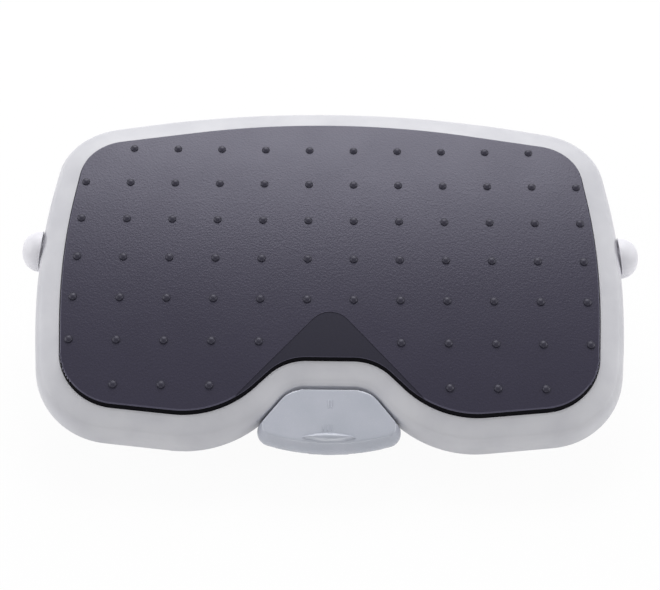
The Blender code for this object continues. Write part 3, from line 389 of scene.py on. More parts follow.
def turned(profile, steps):
    """A turned solid about Z. The profile's (radius, height) points run from the axis back to it."""

    def fill(shape):
        points = [shape.verts.new((radius, 0, height)) for radius, height in profile]
        edges = [shape.edges.new(pair) for pair in zip(points, points[1:])]
        bmesh.ops.spin(
            shape, geom=points + edges, cent=(0, 0, 0), axis=(0, 0, 1), angle=2 * math.pi, steps=steps
        )
        bmesh.ops.remove_doubles(shape, verts=shape.verts, dist=weld_distance)

    return solid("turned", fill)


def rounded(corners):
    """The points of a closed outline, anticlockwise, whose corners (x, y, radius, steps) are arcs."""
    points = []
    for index, (x, y, radius, steps) in enumerate(corners):
        here = Vector((x, y))
        before = (Vector(corners[index - 1][:2]) - here).normalized()
        after = (Vector(corners[(index + 1) % len(corners)][:2]) - here).normalized()
        half_corner = before.angle(after) / 2
        centre = here + (before + after).normalized() * radius / math.sin(half_corner)
        start = here + before * radius / math.tan(half_corner) - centre
        turn = math.copysign(math.pi - 2 * half_corner, -before.cross(after))
        for step in range(steps + 1):
            points.append(centre + Matrix.Rotation(turn * step / steps, 2) @ start)
    return points


def offset(corners, distance):
    """The corners of the parallel outline that lies a distance further out."""
    lines = []
    for index, corner in enumerate(corners):
        start = Vector(corner[:2])
        along = (Vector(corners[(index + 1) % len(corners)][:2]) - start).normalized()
        lines.append((start + Vector((along.y, -along.x)) * distance, along))
    moved = []
    for index, (_, _, radius, steps) in enumerate(corners):
        (first, along), (second, onward) = lines[index - 1], lines[index]
        bend = along.cross(onward)
        place = first + along * (second - first).cross(onward) / bend
        moved.append((place.x, place.y, radius + distance * math.copysign(1, bend), steps))
    return moved


def outline(shares, steps):
    """The corners of a whole outline, anticlockwise, from the shares of its right side."""
    right_side = [
        (*(share * mat_half_width for share in corner), count) for corner, count in zip(shares, steps)
    ]
    left_side = [(-x, y, radius, count) for x, y, radius, count in reversed(right_side) if x > 0]
    return right_side + left_side


def pulled(points, plain, front):
    """A closed outline moved in, by a plain distance and by a further one where it faces the front."""
    moved = []
    for index, point in enumerate(points):
        along = (points[(index + 1) % len(points)] - points[index - 1]).normalized()
        outward = Vector((along.y, -along.x))
        moved.append(point - outward * (plain + front * max(-outward.y, 0)))
    return moved


def mat_corners():
    """The mat's outline: bowed back and sides, two front lobes and a notch between them."""
    return outline(mat_corner_shares, platform_corner_steps)


def rim_corners(share):
    """The outline a share of the way from the mat's edge to the outside of the tray's rim."""
    shares = [
        [inner + (outer - inner) * share for inner, outer in zip(mat_corner, rim_corner)]
        for mat_corner, rim_corner in zip(mat_corner_shares, rim_corner_shares)
    ]
    return outline(shares, platform_corner_steps)


def smoothed(points, steps):
    """A row of points with more laid between them on a curve that passes through them all."""
    ends = [tuple(2 * a - b for a, b in zip(*pair)) for pair in (points[:2], points[:-3:-1])]
    row = [Vector(point) for point in (ends[0], *points, ends[1])]
    finer = []
    for before, start, end, after in zip(row, row[1:], row[2:], row[3:]):
        for step in range(steps):
            t = step / steps
            square = (2 * before - 5 * start + 4 * end - after) * t**2
            cube = (3 * (start - end) + after - before) * t**3
            finer.append(start + ((end - before) * t + (square + cube)) / 2)
    return [*finer, row[-2]]


def crown(y):
    """The height of the mat's top, which falls away to the front and the back."""
    return -y * y / (2 * crown_radius)


def crowned_slab(top_drop, bottom_drop):
    """A wide slab that follows the crown, between two depths below the mat's top."""
    stations = [crown_reach * (2 * step / crown_steps - 1) for step in range(crown_steps + 1)]
    top = [(y, crown(y) - top_drop) for y in reversed(stations)]
    bottom = [(y, crown(y) - bottom_drop) for y in stations]
    return plate_x(bottom + top, -slab_half_width, slab_half_width)


def round_edges(item, radius, segments):
    """Rounds the sharp edges where an object's nearly level top ends."""
    level, sharp = math.cos(math.radians(level_degrees)), math.radians(sharp_degrees)
    with editing(item) as shape:
        edges = []
        for edge in shape.edges:
            heights = sorted(face.normal.z for face in edge.link_faces)
            round_top = len(heights) == 2 and heights[1] > level and heights[0] > -level
            if round_top and edge.calc_face_angle() > sharp:
                edges.append(edge)
        bmesh.ops.bevel(shape, geom=edges, offset=radius, segments=segments, profile=0.5, affect="EDGES")
    return item


def lofted(loops, closed):
    """A solid skin over a row of loops with equal counts, with its ends capped or joined in a ring."""

    def fill(shape):
        rows = [[shape.verts.new(point) for point in loop] for loop in loops]
        following = rows[1:] + rows[:1] if closed else rows[1:]
        for row, after in zip(rows, following):
            for index in range(len(row)):
                shape.faces.new((row[index - 1], row[index], after[index], after[index - 1]))
        if not closed:
            shape.faces.new(rows[0])
            shape.faces.new(rows[-1])

    return solid("lofted", fill)


def swell(item, distance):
    """Moves every point of a solid out along its surface."""
    with editing(item) as shape:
        shape.normal_update()
        for vert in shape.verts:
            vert.co += vert.normal * distance
    return item


def rod(radius, half_length, turn, place):
    """A plain round rod about a place, turned from Z."""
    side = [(0, -half_length), (radius, -half_length), (radius, half_length), (0, half_length)]
    made = turned(side, rod_steps)
    made.data.transform(Matrix.Translation(place) @ turn)
    return made


def merged(items):
    """One object of several solids that don't touch."""
    shape = bmesh.new()
    for item in items:
        shape.from_mesh(item.data)
    shape.to_mesh(items[0].data)
    shape.free()
    for item in items[1:]:
        bpy.data.objects.remove(item)
    return items[0]


def soften(item, voxel, rounds):
    """Rounds every edge of a solid, as a mould does, on a fine even mesh."""
    even = item.modifiers.new("even mesh", "REMESH")
    even.mode = "VOXEL"
    even.voxel_size = voxel
    smooth = item.modifiers.new("soft edges", "SMOOTH")
    smooth.factor = 0.5
    smooth.iterations = rounds
    return bake(item)


def dress(item, name, material, body, replaced=(), place=Matrix.Identity(4), smooth_degrees=35):
    """Names a finished piece, sets it in the room, shades it and puts it on its body."""
    item.name = item.data.name = name
    item.data.transform(place)
    item.data.materials.clear()
    for finish in material if isinstance(material, tuple) else (material,):
        item.data.materials.append(finish)
    item.data.shade_smooth()
    item.data.set_sharp_from_angle(angle=math.radians(smooth_degrees))
    weights = item.modifiers.new("even shading", "WEIGHTED_NORMAL")
    weights.keep_sharp = True
    weights.weight = shading_weight
    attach(item, body)
    if replaced:
        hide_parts(*replaced)


# Finishes


def linear(hex_colour):
    """The linear colour of an sRGB hex value."""
    channels = (int(hex_colour[start : start + 2], 16) / 255 for start in (0, 2, 4))
    return (*((c / 12.92 if c <= 0.04045 else ((c + 0.055) / 1.055) ** 2.4) for c in channels), 1.0)


def add_node(tree, kind, settings=None, links=None, **sockets):
    """Adds a node, with attribute settings, socket values and links to its inputs."""
    node = tree.nodes.new(kind)
    for name, value in (settings or {}).items():
        setattr(node, name, value)
    for name, value in sockets.items():
        node.inputs[name.replace("_", " ")].default_value = value
    for name, source in (links or {}).items():
        tree.links.new(source, node.inputs[name])
    return node


def new_finish(name, colour, roughness, metallic=0.0, ior=1.5, shine=0.5):
    """A material with its shader set to plain values, and its object coordinates."""
    finish = bpy.data.materials.new(name)
    finish.use_nodes = True
    tree = finish.node_tree
    shader = tree.nodes["Principled BSDF"]
    shader.inputs["Base Color"].default_value = linear(colour)
    shader.inputs["Roughness"].default_value = roughness
    shader.inputs["Metallic"].default_value = metallic
    if not metallic:
        shader.inputs["IOR"].default_value = ior
        shader.inputs["Specular IOR Level"].default_value = shine
    place = add_node(tree, "ShaderNodeTexCoord").outputs["Object"]
    finish.diffuse_color = linear(colour)
    return finish, tree, shader, place


def per_metre(size_millimetres):
    """The texture scale that gives a pattern of a real size."""
    return 1 / (size_millimetres * millimetre)


def tint(tree, shader, source, low, high, start=pattern_start, end=pattern_end):
    """Colours a surface between two hex values by a pattern."""
    spread = add_node(tree, "ShaderNodeMapRange", links={0: source}, From_Min=start, From_Max=end)
    mix = add_node(tree, "ShaderNodeMix", {"data_type": "RGBA"}, {0: spread.outputs[0]})
    mix.inputs[6].default_value = linear(low)
    mix.inputs[7].default_value = linear(high)
    tree.links.new(mix.outputs[2], shader.inputs["Base Color"])


def vary_roughness(tree, shader, source, low, high):
    """Spreads a surface's roughness between two values by a pattern."""
    limits = {"From_Min": pattern_start, "From_Max": pattern_end, "To_Min": low, "To_Max": high}
    spread = add_node(tree, "ShaderNodeMapRange", links={0: source}, **limits)
    tree.links.new(spread.outputs[0], shader.inputs["Roughness"])


def relief(tree, shader, source, height_millimetres, strength=1.0, under=None):
    """Raises a surface's fine pattern, over another one if given, and returns the new normal."""
    links = {"Height": source}
    if under:
        links["Normal"] = under
    depth = height_millimetres * millimetre
    bump = add_node(tree, "ShaderNodeBump", links=links, Strength=strength, Distance=depth)
    tree.links.new(bump.outputs[0], shader.inputs["Normal"])
    return bump.outputs[0]


def moulded_abs(name, low, high, roughness, shine, grain_height):
    """Injection moulded ABS. Spark-eroded tool texture gives it a soft sheen with no sharp reflection."""
    finish, tree, shader, place = new_finish(name, high, roughness, ior=1.53, shine=shine)
    # The melt's flow shades it faintly over some centimetres
    clouds = add_node(tree, "ShaderNodeTexNoise", links={"Vector": place}, Scale=per_metre(38), Detail=3.0)
    tint(tree, shader, clouds.outputs[0], low, high)
    # Spark texture is about 0.25 mm; drawn at 0.6 mm so that it shows
    grain = add_node(tree, "ShaderNodeTexNoise", links={"Vector": place}, Scale=per_metre(0.6), Detail=2.0)
    vary_roughness(tree, shader, grain.outputs[0], roughness - 0.05, roughness + 0.06)
    relief(tree, shader, grain.outputs[0], grain_height, strength=0.5)
    return finish


def grained_rubber(name, low, high, roughness, shine, pebble_millimetres, pebble_height):
    """Compression moulded rubber. A pebbled tool grain breaks the sheen into fine sparkle."""
    finish, tree, shader, place = new_finish(name, high, roughness, ior=1.52, shine=shine)
    # A faint violet bloom on the surface tinges the sheen
    shader.inputs["Specular Tint"].default_value = linear(rubber_bloom)
    pebbles = add_node(
        tree,
        "ShaderNodeTexVoronoi",
        {"feature": "SMOOTH_F1"},
        {"Vector": place},
        Scale=per_metre(pebble_millimetres),
        Smoothness=0.6,
    )
    # Fine dust and filler show as a speckle of about a millimetre
    speckle = add_node(
        tree, "ShaderNodeTexNoise", links={"Vector": place}, Scale=per_metre(1.3), Detail=4.0, Roughness=0.7
    )
    tint(tree, shader, speckle.outputs[0], low, high, start=0.30, end=0.70)
    # Scuffs from shoes, some centimetres long
    scuffs = add_node(tree, "ShaderNodeTexNoise", links={"Vector": place}, Scale=per_metre(45), Detail=5.0)
    vary_roughness(tree, shader, scuffs.outputs[0], roughness - 0.015, roughness + 0.02)
    coarse = relief(tree, shader, pebbles.outputs[0], pebble_height, strength=0.6)
    relief(tree, shader, speckle.outputs[0], pebble_height, strength=0.5, under=coarse)
    return finish


def plated_steel(name, colour, roughness):
    """Zinc plated steel. The passivated coat is bright with a faint milky mottle."""
    finish, tree, shader, place = new_finish(name, colour, roughness, metallic=1.0)
    # The coat's mottle is a few millimetres wide
    mottle = add_node(tree, "ShaderNodeTexNoise", links={"Vector": place}, Scale=per_metre(2.5), Detail=3.0)
    vary_roughness(tree, shader, mottle.outputs[0], roughness - 0.06, roughness + 0.10)
    return finish


def sintered_steel(name, colour):
    """Pressed and sintered steel. Its fine pores make it grey and dull."""
    finish, tree, shader, place = new_finish(name, colour, 0.5, metallic=1.0)
    # Pores are about 0.1 mm; drawn at 0.5 mm so that they show
    pores = add_node(tree, "ShaderNodeTexNoise", links={"Vector": place}, Scale=per_metre(0.5), Detail=4.0)
    vary_roughness(tree, shader, pores.outputs[0], 0.42, 0.62)
    relief(tree, shader, pores.outputs[0], 0.03, strength=0.4)
    return finish


def moulded_acetal(name, low, high):
    """Moulded natural acetal, waxy and slightly translucent, so its shadows stay soft."""
    finish, tree, shader, place = new_finish(name, high, 0.38, ior=1.48)
    shader.inputs["Subsurface Weight"].default_value = 0.12
    shader.inputs["Subsurface Radius"].default_value = (0.002, 0.0018, 0.0014)
    # Faint clouds of about a centimetre
    clouds = add_node(tree, "ShaderNodeTexNoise", links={"Vector": place}, Scale=per_metre(9), Detail=2.0)
    tint(tree, shader, clouds.outputs[0], low, high)
    return finish


# Colours go from darker to lighter, then come roughness, shine and the grain in millimetres
rim_abs = moulded_abs("moulded_abs_light_grey", "C8C8CE", "D1D1D6", 0.42, 0.30, 0.030)
pedal_abs = moulded_abs("moulded_abs_blue_grey", "B2B6C1", "BABDC8", 0.22, 0.60, 0.010)
frame_abs = moulded_abs("moulded_abs_pale_grey", "E0DFE6", "E8E7ED", 0.44, 0.36, 0.030)
mechanism_nylon = moulded_abs("moulded_nylon_black", "232326", "2B2B2E", 0.52, 0.45, 0.045)
mat_rubber = grained_rubber("moulded_rubber_violet_grey", "181523", "201D2E", 0.375, 0.41, 1.8, 0.16)
bump_rubber = grained_rubber("moulded_rubber_smooth_bumps", "1B1A23", "24222E", 0.44, 0.36, 0.5, 0.010)
panel_rubber = grained_rubber("moulded_rubber_fine_panel", "1A1922", "201F2A", 0.56, 0.22, 0.5, 0.05)
# Smoother, glossier rubber on the rounded top edge; its lighter colour is a painted highlight
edge_rubber_painted_highlight = grained_rubber("moulded_rubber_smooth_edge", "3A3847", "444252", 0.34, 0.50, 0.5, 0.02)
# Near-black rubber on the mat's side wall: painted shade of the narrow groove between mat and rim
wall_rubber_painted_shade = grained_rubber("trimmed_rubber_edge", "060608", "09080B", 0.85, 0.10, 0.7, 0.05)
foot_rubber = grained_rubber("moulded_rubber_black_feet", "17171A", "1F1F22", 0.75, 0.40, 0.7, 0.06)
zinc_steel = plated_steel("zinc_plated_steel", "C4C6C9", 0.30)
spring_steel = plated_steel("spring_steel_wire", "9A9CA0", 0.26)
sector_steel = sintered_steel("sintered_steel_sector", "85868A")
bush_acetal = moulded_acetal("natural_acetal", "E2DECF", "EAE7DA")


# Platform


def depth_inside(points, place):
    """How deep a place lies inside an outline, or zero outside it."""
    turn, depths = 0, []
    for start, end in zip(points, points[1:] + points[:1]):
        along = end - start
        share = min(max((place - start).dot(along) / along.length_squared, 0), 1)
        depths.append((start + along * share - place).length)
        turn += (start - place).angle_signed(end - place)
    return min(depths) if abs(turn) > math.pi else 0


def bump_places():
    """The centres of the mat's bumps: a square grid, left out near the mat's edge and on the wedge."""
    edge = rounded(mat_corners())
    slope = math.tan(math.radians(panel_flank_degrees))
    places = []
    for row in range(bump_rows):
        for column in range(bump_columns):
            x = (column - (bump_columns - 1) / 2) * bump_pitch
            y = ((bump_rows - 1) / 2 - row) * bump_pitch
            on_wedge = bump_radius - y > panel_apex_reach + abs(x) * slope
            if depth_inside(edge, Vector((x, y))) > bump_margin and not on_wedge:
                places.append((x, y))
    return places


def front_panel_corners():
    """The plain wedge at the front of the mat, which runs out over the notch."""
    foot = panel_apex_reach + panel_flank_reach * math.tan(math.radians(panel_flank_degrees))
    return [
        (0, -panel_apex_reach, panel_apex_radius, panel_apex_steps),
        (-panel_flank_reach, -foot, bump_radius, 1),
        (panel_flank_reach, -foot, bump_radius, 1),
    ]


def make_mat():
    """The rubber mat with its rounded edge, lighter there as a painted highlight, its cut wall painted near black
    as the groove's shade, and the bare sunk wedge of finer grain.
    """
    loops = []
    for height in (-crown(crown_reach), -mat_wall_depth, -crown_reach):
        draft = max(height / mat_wall_depth + 1, 0)
        loop = pulled(rounded(mat_corners()), mat_draft * draft, mat_front_gap + mat_front_draft * draft)
        loops.append([(x, y, crown(y) + height) for x, y in loop])
    mat = combine(lofted(loops, False), crowned_slab(0, mat_thickness), "INTERSECT")
    round_edges(mat, mat_edge_radius, mat_edge_steps)
    wedge = prism(rounded(front_panel_corners()), -crown_reach, crown_reach)
    combine(wedge, crowned_slab(-panel_depth, panel_depth), "INTERSECT")
    combine(mat, wedge, "DIFFERENCE")
    finishes = (mat_rubber, panel_rubber, wall_rubber_painted_shade, edge_rubber_painted_highlight)
    dress(mat, "grip_mat_rubber", finishes, "platform", ["grip_mat"], platform_home)
    to_platform = platform_home.inverted()
    for face in mat.data.polygons:
        middle = to_platform @ face.center
        depth = crown(middle.y) - middle.z
        upward = (to_platform.to_3x3() @ face.normal).z
        # Steep side faces take the near-black painted shade of the groove
        if upward < mat_wall_upward:
            face.material_index = finishes.index(wall_rubber_painted_shade)
        # Faces of the rounded top edge take the lighter colour, a painted highlight
        elif upward < mat_edge_upward:
            face.material_index = finishes.index(edge_rubber_painted_highlight)
        elif depth > panel_depth / 2 and middle.y < -panel_apex_reach:
            face.material_index = finishes.index(panel_rubber)


def new_tree(name, *inputs):
    """A geometry node tree with a points input, further named ones and a finish, and its input sockets."""
    tree = bpy.data.node_groups.new(name, "GeometryNodeTree")
    kinds = {"Geometry": "Geometry", "Head": "Object", "Finish": "Material"}
    for socket in ("Geometry", *inputs, "Finish"):
        kind = "NodeSocket" + kinds.get(socket, "Float")
        tree.interface.new_socket(socket, in_out="INPUT", socket_type=kind)
    tree.interface.new_socket("Geometry", in_out="OUTPUT", socket_type="NodeSocketGeometry")
    return tree, add_node(tree, "NodeGroupInput").outputs


def close_tree(tree, given, geometry):
    """Ends a node tree: its geometry is made real, takes the finish and goes out."""
    real = add_node(tree, "GeometryNodeRealizeInstances", links={0: geometry})
    links = {"Geometry": real.outputs[0], "Material": given["Finish"]}
    done = add_node(tree, "GeometryNodeSetMaterial", links=links)
    add_node(tree, "NodeGroupOutput", links={0: done.outputs[0]})
    return tree


def bump_tree():
    """A node tree that lays one domed bump on each point."""
    tree, given = new_tree("mat_bump_tree", "Bump radius", "Bump height")
    ball = add_node(
        tree,
        "GeometryNodeMeshUVSphere",
        links={"Radius": given["Bump radius"]},
        Segments=bump_segments,
        Rings=bump_rings,
    )
    shares = {0: given["Bump height"], 1: given["Bump radius"]}
    flatness = add_node(tree, "ShaderNodeMath", {"operation": "DIVIDE"}, shares)
    scale = add_node(tree, "ShaderNodeCombineXYZ", links={"Z": flatness.outputs[0]}, X=1.0, Y=1.0)
    links = {"Points": given["Geometry"], "Instance": ball.outputs["Mesh"], "Scale": scale.outputs[0]}
    laid = add_node(tree, "GeometryNodeInstanceOnPoints", links=links)
    return close_tree(tree, given, laid.outputs[0])


def grow(mesh, tree, values):
    """Runs a node tree over a mesh of loose points and keeps what it makes as a plain mesh."""
    item = new_object(mesh.name, mesh)
    step = item.modifiers.new("pattern", "NODES")
    step.node_group = tree
    for socket in tree.interface.items_tree:
        if socket.in_out == "INPUT" and socket.name in values:
            step[socket.identifier] = values[socket.name]
    return bake(item)


def make_bumps():
    """The mat's domed bumps, one on each place of the pattern, on the crown."""
    mesh = bpy.data.meshes.new("mat_bumps")
    mesh.from_pydata([(x, y, crown(y)) for x, y in bump_places()], [], [])
    values = {"Bump radius": bump_radius, "Bump height": bump_height, "Finish": bump_rubber}
    bumps = grow(mesh, bump_tree(), values)
    dress(bumps, "mat_bumps", bump_rubber, "platform", place=platform_home, smooth_degrees=60)


def rim_loop(share, depth_share):
    """One loop round the rim, at a share of the way out and a share of the skirt's depth down."""
    nearness = max(1 - share / rim_pull_share, 0)
    loop = pulled(rounded(rim_corners(share)), 0, mat_front_gap * nearness)
    return [Vector((x, y, crown(y) - depth_share * skirt_depth)) for x, y in loop]


def notch_share(point):
    """How far a point of the rim belongs to the notch: 1 in the notch, 0 on the lobes and behind."""
    share = min(max((rim_lip_half_width - abs(point.x)) / rim_lip_fade, 0), 1) if point.y < 0 else 0
    return share * share * (3 - 2 * share)


def make_rim():
    """The tray's rim at full smoothness: a soft outer edge, a tighter lip in the notch, and hub arches."""
    loops = []
    profiles = [smoothed(shares, rim_smooth_steps) for shares in (rim_crest_shares, rim_lip_shares)]
    for soft, tight in zip(*profiles):
        pairs = zip(rim_loop(*soft), rim_loop(*tight))
        loops.append([point.lerp(sharper, notch_share(point)) for point, sharper in pairs])
    loops += [rim_loop(*shares) for shares in rim_inside_shares]
    rim = swell(lofted(loops, True), skin_lift)
    for side in (-1, 1):
        middle = (side * (leg_outer + cap_tip) / 2, pivot_back, -pivot_drop)
        combine(rim, rod(arch_radius, (cap_tip - leg_outer) / 2, across, middle), "DIFFERENCE")
    dress(rim, "tray_rim_skin", rim_abs, "platform", place=platform_home, smooth_degrees=40)


# Pedal


def pedal_shell(inset):
    """The pedal's shell without its crowned top: upright behind, with a round nose in front."""
    loops = []
    for share, drop in pedal_nose:
        shares = [
            [top + (bulge - top) * share for top, bulge in zip(*pair)]
            for pair in zip(pedal_top_shares, pedal_bulge_shares)
        ]
        corners = offset(outline(shares, pedal_corner_steps), -inset)
        loops.append([(x, y, -drop - inset if drop else 0) for x, y in rounded(corners)])
    return lofted(loops, False)


def toe_ridge():
    """The crescent lip near the pedal's front edge: a steep wall behind and a long slope in front."""
    sections = []
    for step in range(toe_ridge_steps + 1):
        share = math.sin(math.pi * (step / toe_ridge_steps - 0.5)) * toe_ridge_reach_share
        bow = 1 - share * share
        back = -toe_ridge_back - toe_ridge_depth * (1 - bow * toe_ridge_back_bow_share)
        front = -toe_ridge_back - toe_ridge_depth * (toe_ridge_end_share + bow * toe_ridge_front_bow_share)
        section = [(back, -pedal_wall / 2)]
        for along, rise in toe_ridge_profile:
            section.append((back + (front - back) * along, toe_ridge_height * bow**toe_ridge_taper * rise))
        section.append((front, -pedal_wall / 2))
        x = share * toe_ridge_half_width
        sections.append([(x, y, crown(y) - pedal_drop + rise) for y, rise in section])
    return lofted(sections, False)


def pedal_marks():
    """The low raised strokes of the plain marks on the pedal."""
    half = mark_width / 2
    strokes = []
    for x, back, front in mark_strokes:
        corners = [(x - half, front), (x + half, front), (x + half, back), (x - half, back)]
        loop = rounded([(*corner, half * mark_round_share, mark_corner_steps) for corner in corners])
        strokes.append([
            [(x, y, crown(y) - pedal_drop + lift) for x, y in pulled(loop, draw, 0)]
            for lift, draw in ((-mark_height, 0), (mark_height / 2, 0), (mark_height, mark_height / 2))
        ])
    return merged([lofted(stroke, False) for stroke in strokes])


def web_outline():
    """The side of a pedal web, from under the pedal's top down to the hinge barrel."""
    front, back = web_front_reach, -pedal_top_shares[-1][1] * mat_half_width + pedal_wall / 2
    seat = pedal_drop + web_seat
    skirt_low = crown(web_front_reach) - pedal_depth + barrel_radius
    top_share, out_share, down_share = web_nose_shares
    return [
        (-hinge_reach, -hinge_drop + barrel_radius * top_share),
        (-hinge_reach, -web_shoulder_drop),
        (-back, -web_shoulder_drop),
        (-back, crown(back) - seat),
        (-front, crown(front) - seat),
        (-front, skirt_low),
        (-hinge_reach - barrel_radius * out_share, -hinge_drop - barrel_radius * down_share),
    ]


def pedal_frame():
    """What is under the pedal: two webs, the hinge barrel and the arm that draws the brake."""
    webs = [
        plate_x(web_outline(), side * web_x - web_thickness / 2, side * web_x + web_thickness / 2)
        for side in (-1, 1)
    ]
    hinge = (0, -hinge_reach, -hinge_drop)
    below = combine(merged(webs), rod(barrel_radius, barrel_half_length, across, hinge), "UNION")
    arm_side = [
        (-hinge_reach + end * arm_thickness / 2, height)
        for end, height in ((-1, -hinge_drop), (1, -hinge_drop), (1, -arm_top_drop), (-1, -arm_top_drop))
    ]
    combine(below, plate_x(arm_side, -arm_half_width, arm_half_width), "UNION")
    combine(below, rod(hinge_bore, 2 * barrel_half_length, across, hinge), "DIFFERENCE")
    eye = rod(arm_hole_radius, arm_thickness, forward, (0, -hinge_reach, -rod_drop))
    return combine(below, eye, "DIFFERENCE")


def make_pedal():
    """The pedal: a soft-edged shell with its toe ridge and marks, on its webs, barrel and arm."""
    pedal = combine(pedal_shell(0), crowned_slab(pedal_drop, pedal_depth), "INTERSECT")
    soften(pedal, pedal_voxel, pedal_smooth_rounds)
    hollow = crowned_slab(pedal_drop + pedal_wall, 2 * pedal_depth)
    combine(pedal, combine(pedal_shell(pedal_wall), hollow, "INTERSECT"), "DIFFERENCE")
    combine(pedal, merged([toe_ridge(), pedal_marks()]), "UNION")
    combine(pedal, pedal_frame(), "UNION")
    dress(
        pedal,
        "foot_pedal_moulded",
        pedal_abs,
        "pedal",
        ["foot_pedal"],
        platform_home,
        smooth_degrees=40,
    )


# Hubs


def make_hub_cap(side, name):
    """A domed cap on an axle end. Its back leans along the rim's side, and a neck joins it to the leg."""
    profile = [(0, cap_depth), (cap_radius, cap_depth)]
    for step in range(cap_dome_steps + 1):
        angle = math.pi / 2 * step / cap_dome_steps
        radius = cap_radius * math.cos(angle) ** cap_fullness if step < cap_dome_steps else 0
        profile.append((radius, cap_face + (cap_tip - cap_face) * math.sin(angle)))
    cap = turned(profile, cap_turn_steps)
    cap.data.transform(across)
    reach = 2 * cap_radius
    side_line = [(cap_face, -reach), (cap_face, 0), (cap_face - cap_lean * reach, reach)]
    rim_side = prism([(0, -reach), *side_line, (0, reach)], -reach, reach)
    rim_side.data.transform(forward)
    combine(cap, rim_side, "DIFFERENCE")
    middle = (leg_outer + cap_face + cap_bite) / 2
    neck = rod(cap_neck_radius, cap_face + cap_bite - middle, across, (middle, 0, 0))
    combine(cap, neck, "UNION")
    combine(cap, rod(axle_bore, axle_half_length, across, (0, 0, 0)), "DIFFERENCE")
    turn = Matrix.Rotation(math.pi if side < 0 else 0, 4, "Z")
    place = Matrix.Translation(axle) @ turn
    dress(cap, f"{name}_moulded", frame_abs, "base", [name], place, smooth_degrees=40)


# Fasteners


def screw_head(head_radius, head_height):
    """A pan head about Z with a cross recess, seated at zero height."""
    profile = [(0, 0), (head_radius * screw_seat_share, 0), (head_radius, head_height * screw_rise_share)]
    for step in range(screw_pan_steps + 1):
        angle = math.pi / 2 * step / screw_pan_steps
        radius = head_radius * math.cos(angle) ** screw_pan_fullness if step < screw_pan_steps else 0
        rise = screw_wall_share + (1 - screw_wall_share) * math.sin(angle)
        profile.append((radius, head_height * rise))
    head = turned(profile, screw_turn_steps)
    reach = head_radius * screw_recess_arm_share
    half = head_radius * screw_recess_width_share / 2
    floor = head_height * (1 - screw_recess_depth_share)
    for wide, deep in ((reach, half), (half, reach)):
        corners = [(-wide, -deep), (wide, -deep), (wide, deep), (-wide, deep)]
        combine(head, prism(corners, floor, 2 * head_height), "DIFFERENCE")
    return head


def screw_tree():
    """A node tree that sets a screw's head and its shank on each point, turned as the point says."""
    tree, given = new_tree("pan_head_screw_tree", "Head", "Shank radius")
    turn = add_node(tree, "GeometryNodeInputNamedAttribute", {"data_type": "FLOAT_VECTOR"}, Name="turn")
    turned_as = add_node(tree, "FunctionNodeEulerToRotation", links={0: turn.outputs["Attribute"]})
    seat = {"Points": given["Geometry"], "Rotation": turned_as.outputs[0]}
    head = add_node(tree, "GeometryNodeObjectInfo", links={"Object": given["Head"]}).outputs["Geometry"]
    heads = add_node(tree, "GeometryNodeInstanceOnPoints", links={**seat, "Instance": head})
    shank = add_node(
        tree,
        "GeometryNodeMeshCylinder",
        links={"Radius": given["Shank radius"]},
        Vertices=shank_steps,
        Depth=1.0,
    )
    hung = add_node(
        tree, "GeometryNodeTransform", links={"Geometry": shank.outputs["Mesh"]}, Translation=(0, 0, -0.5)
    )
    length = add_node(tree, "GeometryNodeInputNamedAttribute", {"data_type": "FLOAT"}, Name="shank")
    size = add_node(tree, "ShaderNodeCombineXYZ", links={"Z": length.outputs["Attribute"]}, X=1.0, Y=1.0)
    sized = {"Instance": hung.outputs[0], "Scale": size.outputs[0]}
    shanks = add_node(tree, "GeometryNodeInstanceOnPoints", links={**seat, **sized})
    both = add_node(tree, "GeometryNodeJoinGeometry")
    tree.links.new(heads.outputs[0], both.inputs[0])
    tree.links.new(shanks.outputs[0], both.inputs[0])
    return close_tree(tree, given, both.outputs[0])


def screw_stance(node, home, head_height):
    """Where a solid screw's head seats, how it turns and its shank's length. It lies along an axis."""
    back = home.inverted()
    points = [back @ vert.co for vert in frame["nodes"][node].data.vertices]
    low, high = (Vector(pick(point[i] for point in points) for i in range(3)) for pick in (min, max))
    middle, size = (low + high) / 2, high - low
    way = max(range(3), key=lambda i: size[i])

    def spread(point):
        sideways = point - middle
        sideways[way] = 0
        return sideways.length

    side = math.copysign(1, max(points, key=spread)[way] - middle[way])
    facing = Vector((0, 0, 0))
    facing[way] = side
    seat = middle + facing * (size[way] / 2 - head_height)
    turn = home.to_3x3() @ facing.to_track_quat("Z", "Y").to_matrix()
    return home @ seat, turn.to_euler(), size[way] - head_height


def make_screws():
    """The base's eight larger screws and the platform's eight smaller ones, in the solid ones' places."""
    tree = screw_tree()
    for body, home, head_radius, head_height, shank_radius in (
        ("base", Matrix.Identity(4), frame_screw_head_radius, frame_screw_head_height, frame_screw_radius),
        ("platform", platform_home, screw_head_radius, screw_head_height, screw_radius),
    ):
        nodes = [node for node in bodies[body] if node.endswith("_screw")]
        stances = [screw_stance(node, home, head_height) for node in nodes]
        mesh = bpy.data.meshes.new("screws")
        mesh.from_pydata([place for place, _, _ in stances], [], [])
        mesh.attributes.new("turn", "FLOAT_VECTOR", "POINT")
        mesh.attributes.new("shank", "FLOAT", "POINT")
        for index, (_, angles, length) in enumerate(stances):
            mesh.attributes["turn"].data[index].vector = tuple(angles)
            mesh.attributes["shank"].data[index].value = length
        head = screw_head(head_radius, head_height)
        screws = grow(mesh, tree, {"Head": head, "Shank radius": shank_radius, "Finish": zinc_steel})
        bpy.data.objects.remove(head)
        name = f"{body}_pan_head_screws"
        dress(screws, name, zinc_steel, body, nodes, smooth_degrees=30)


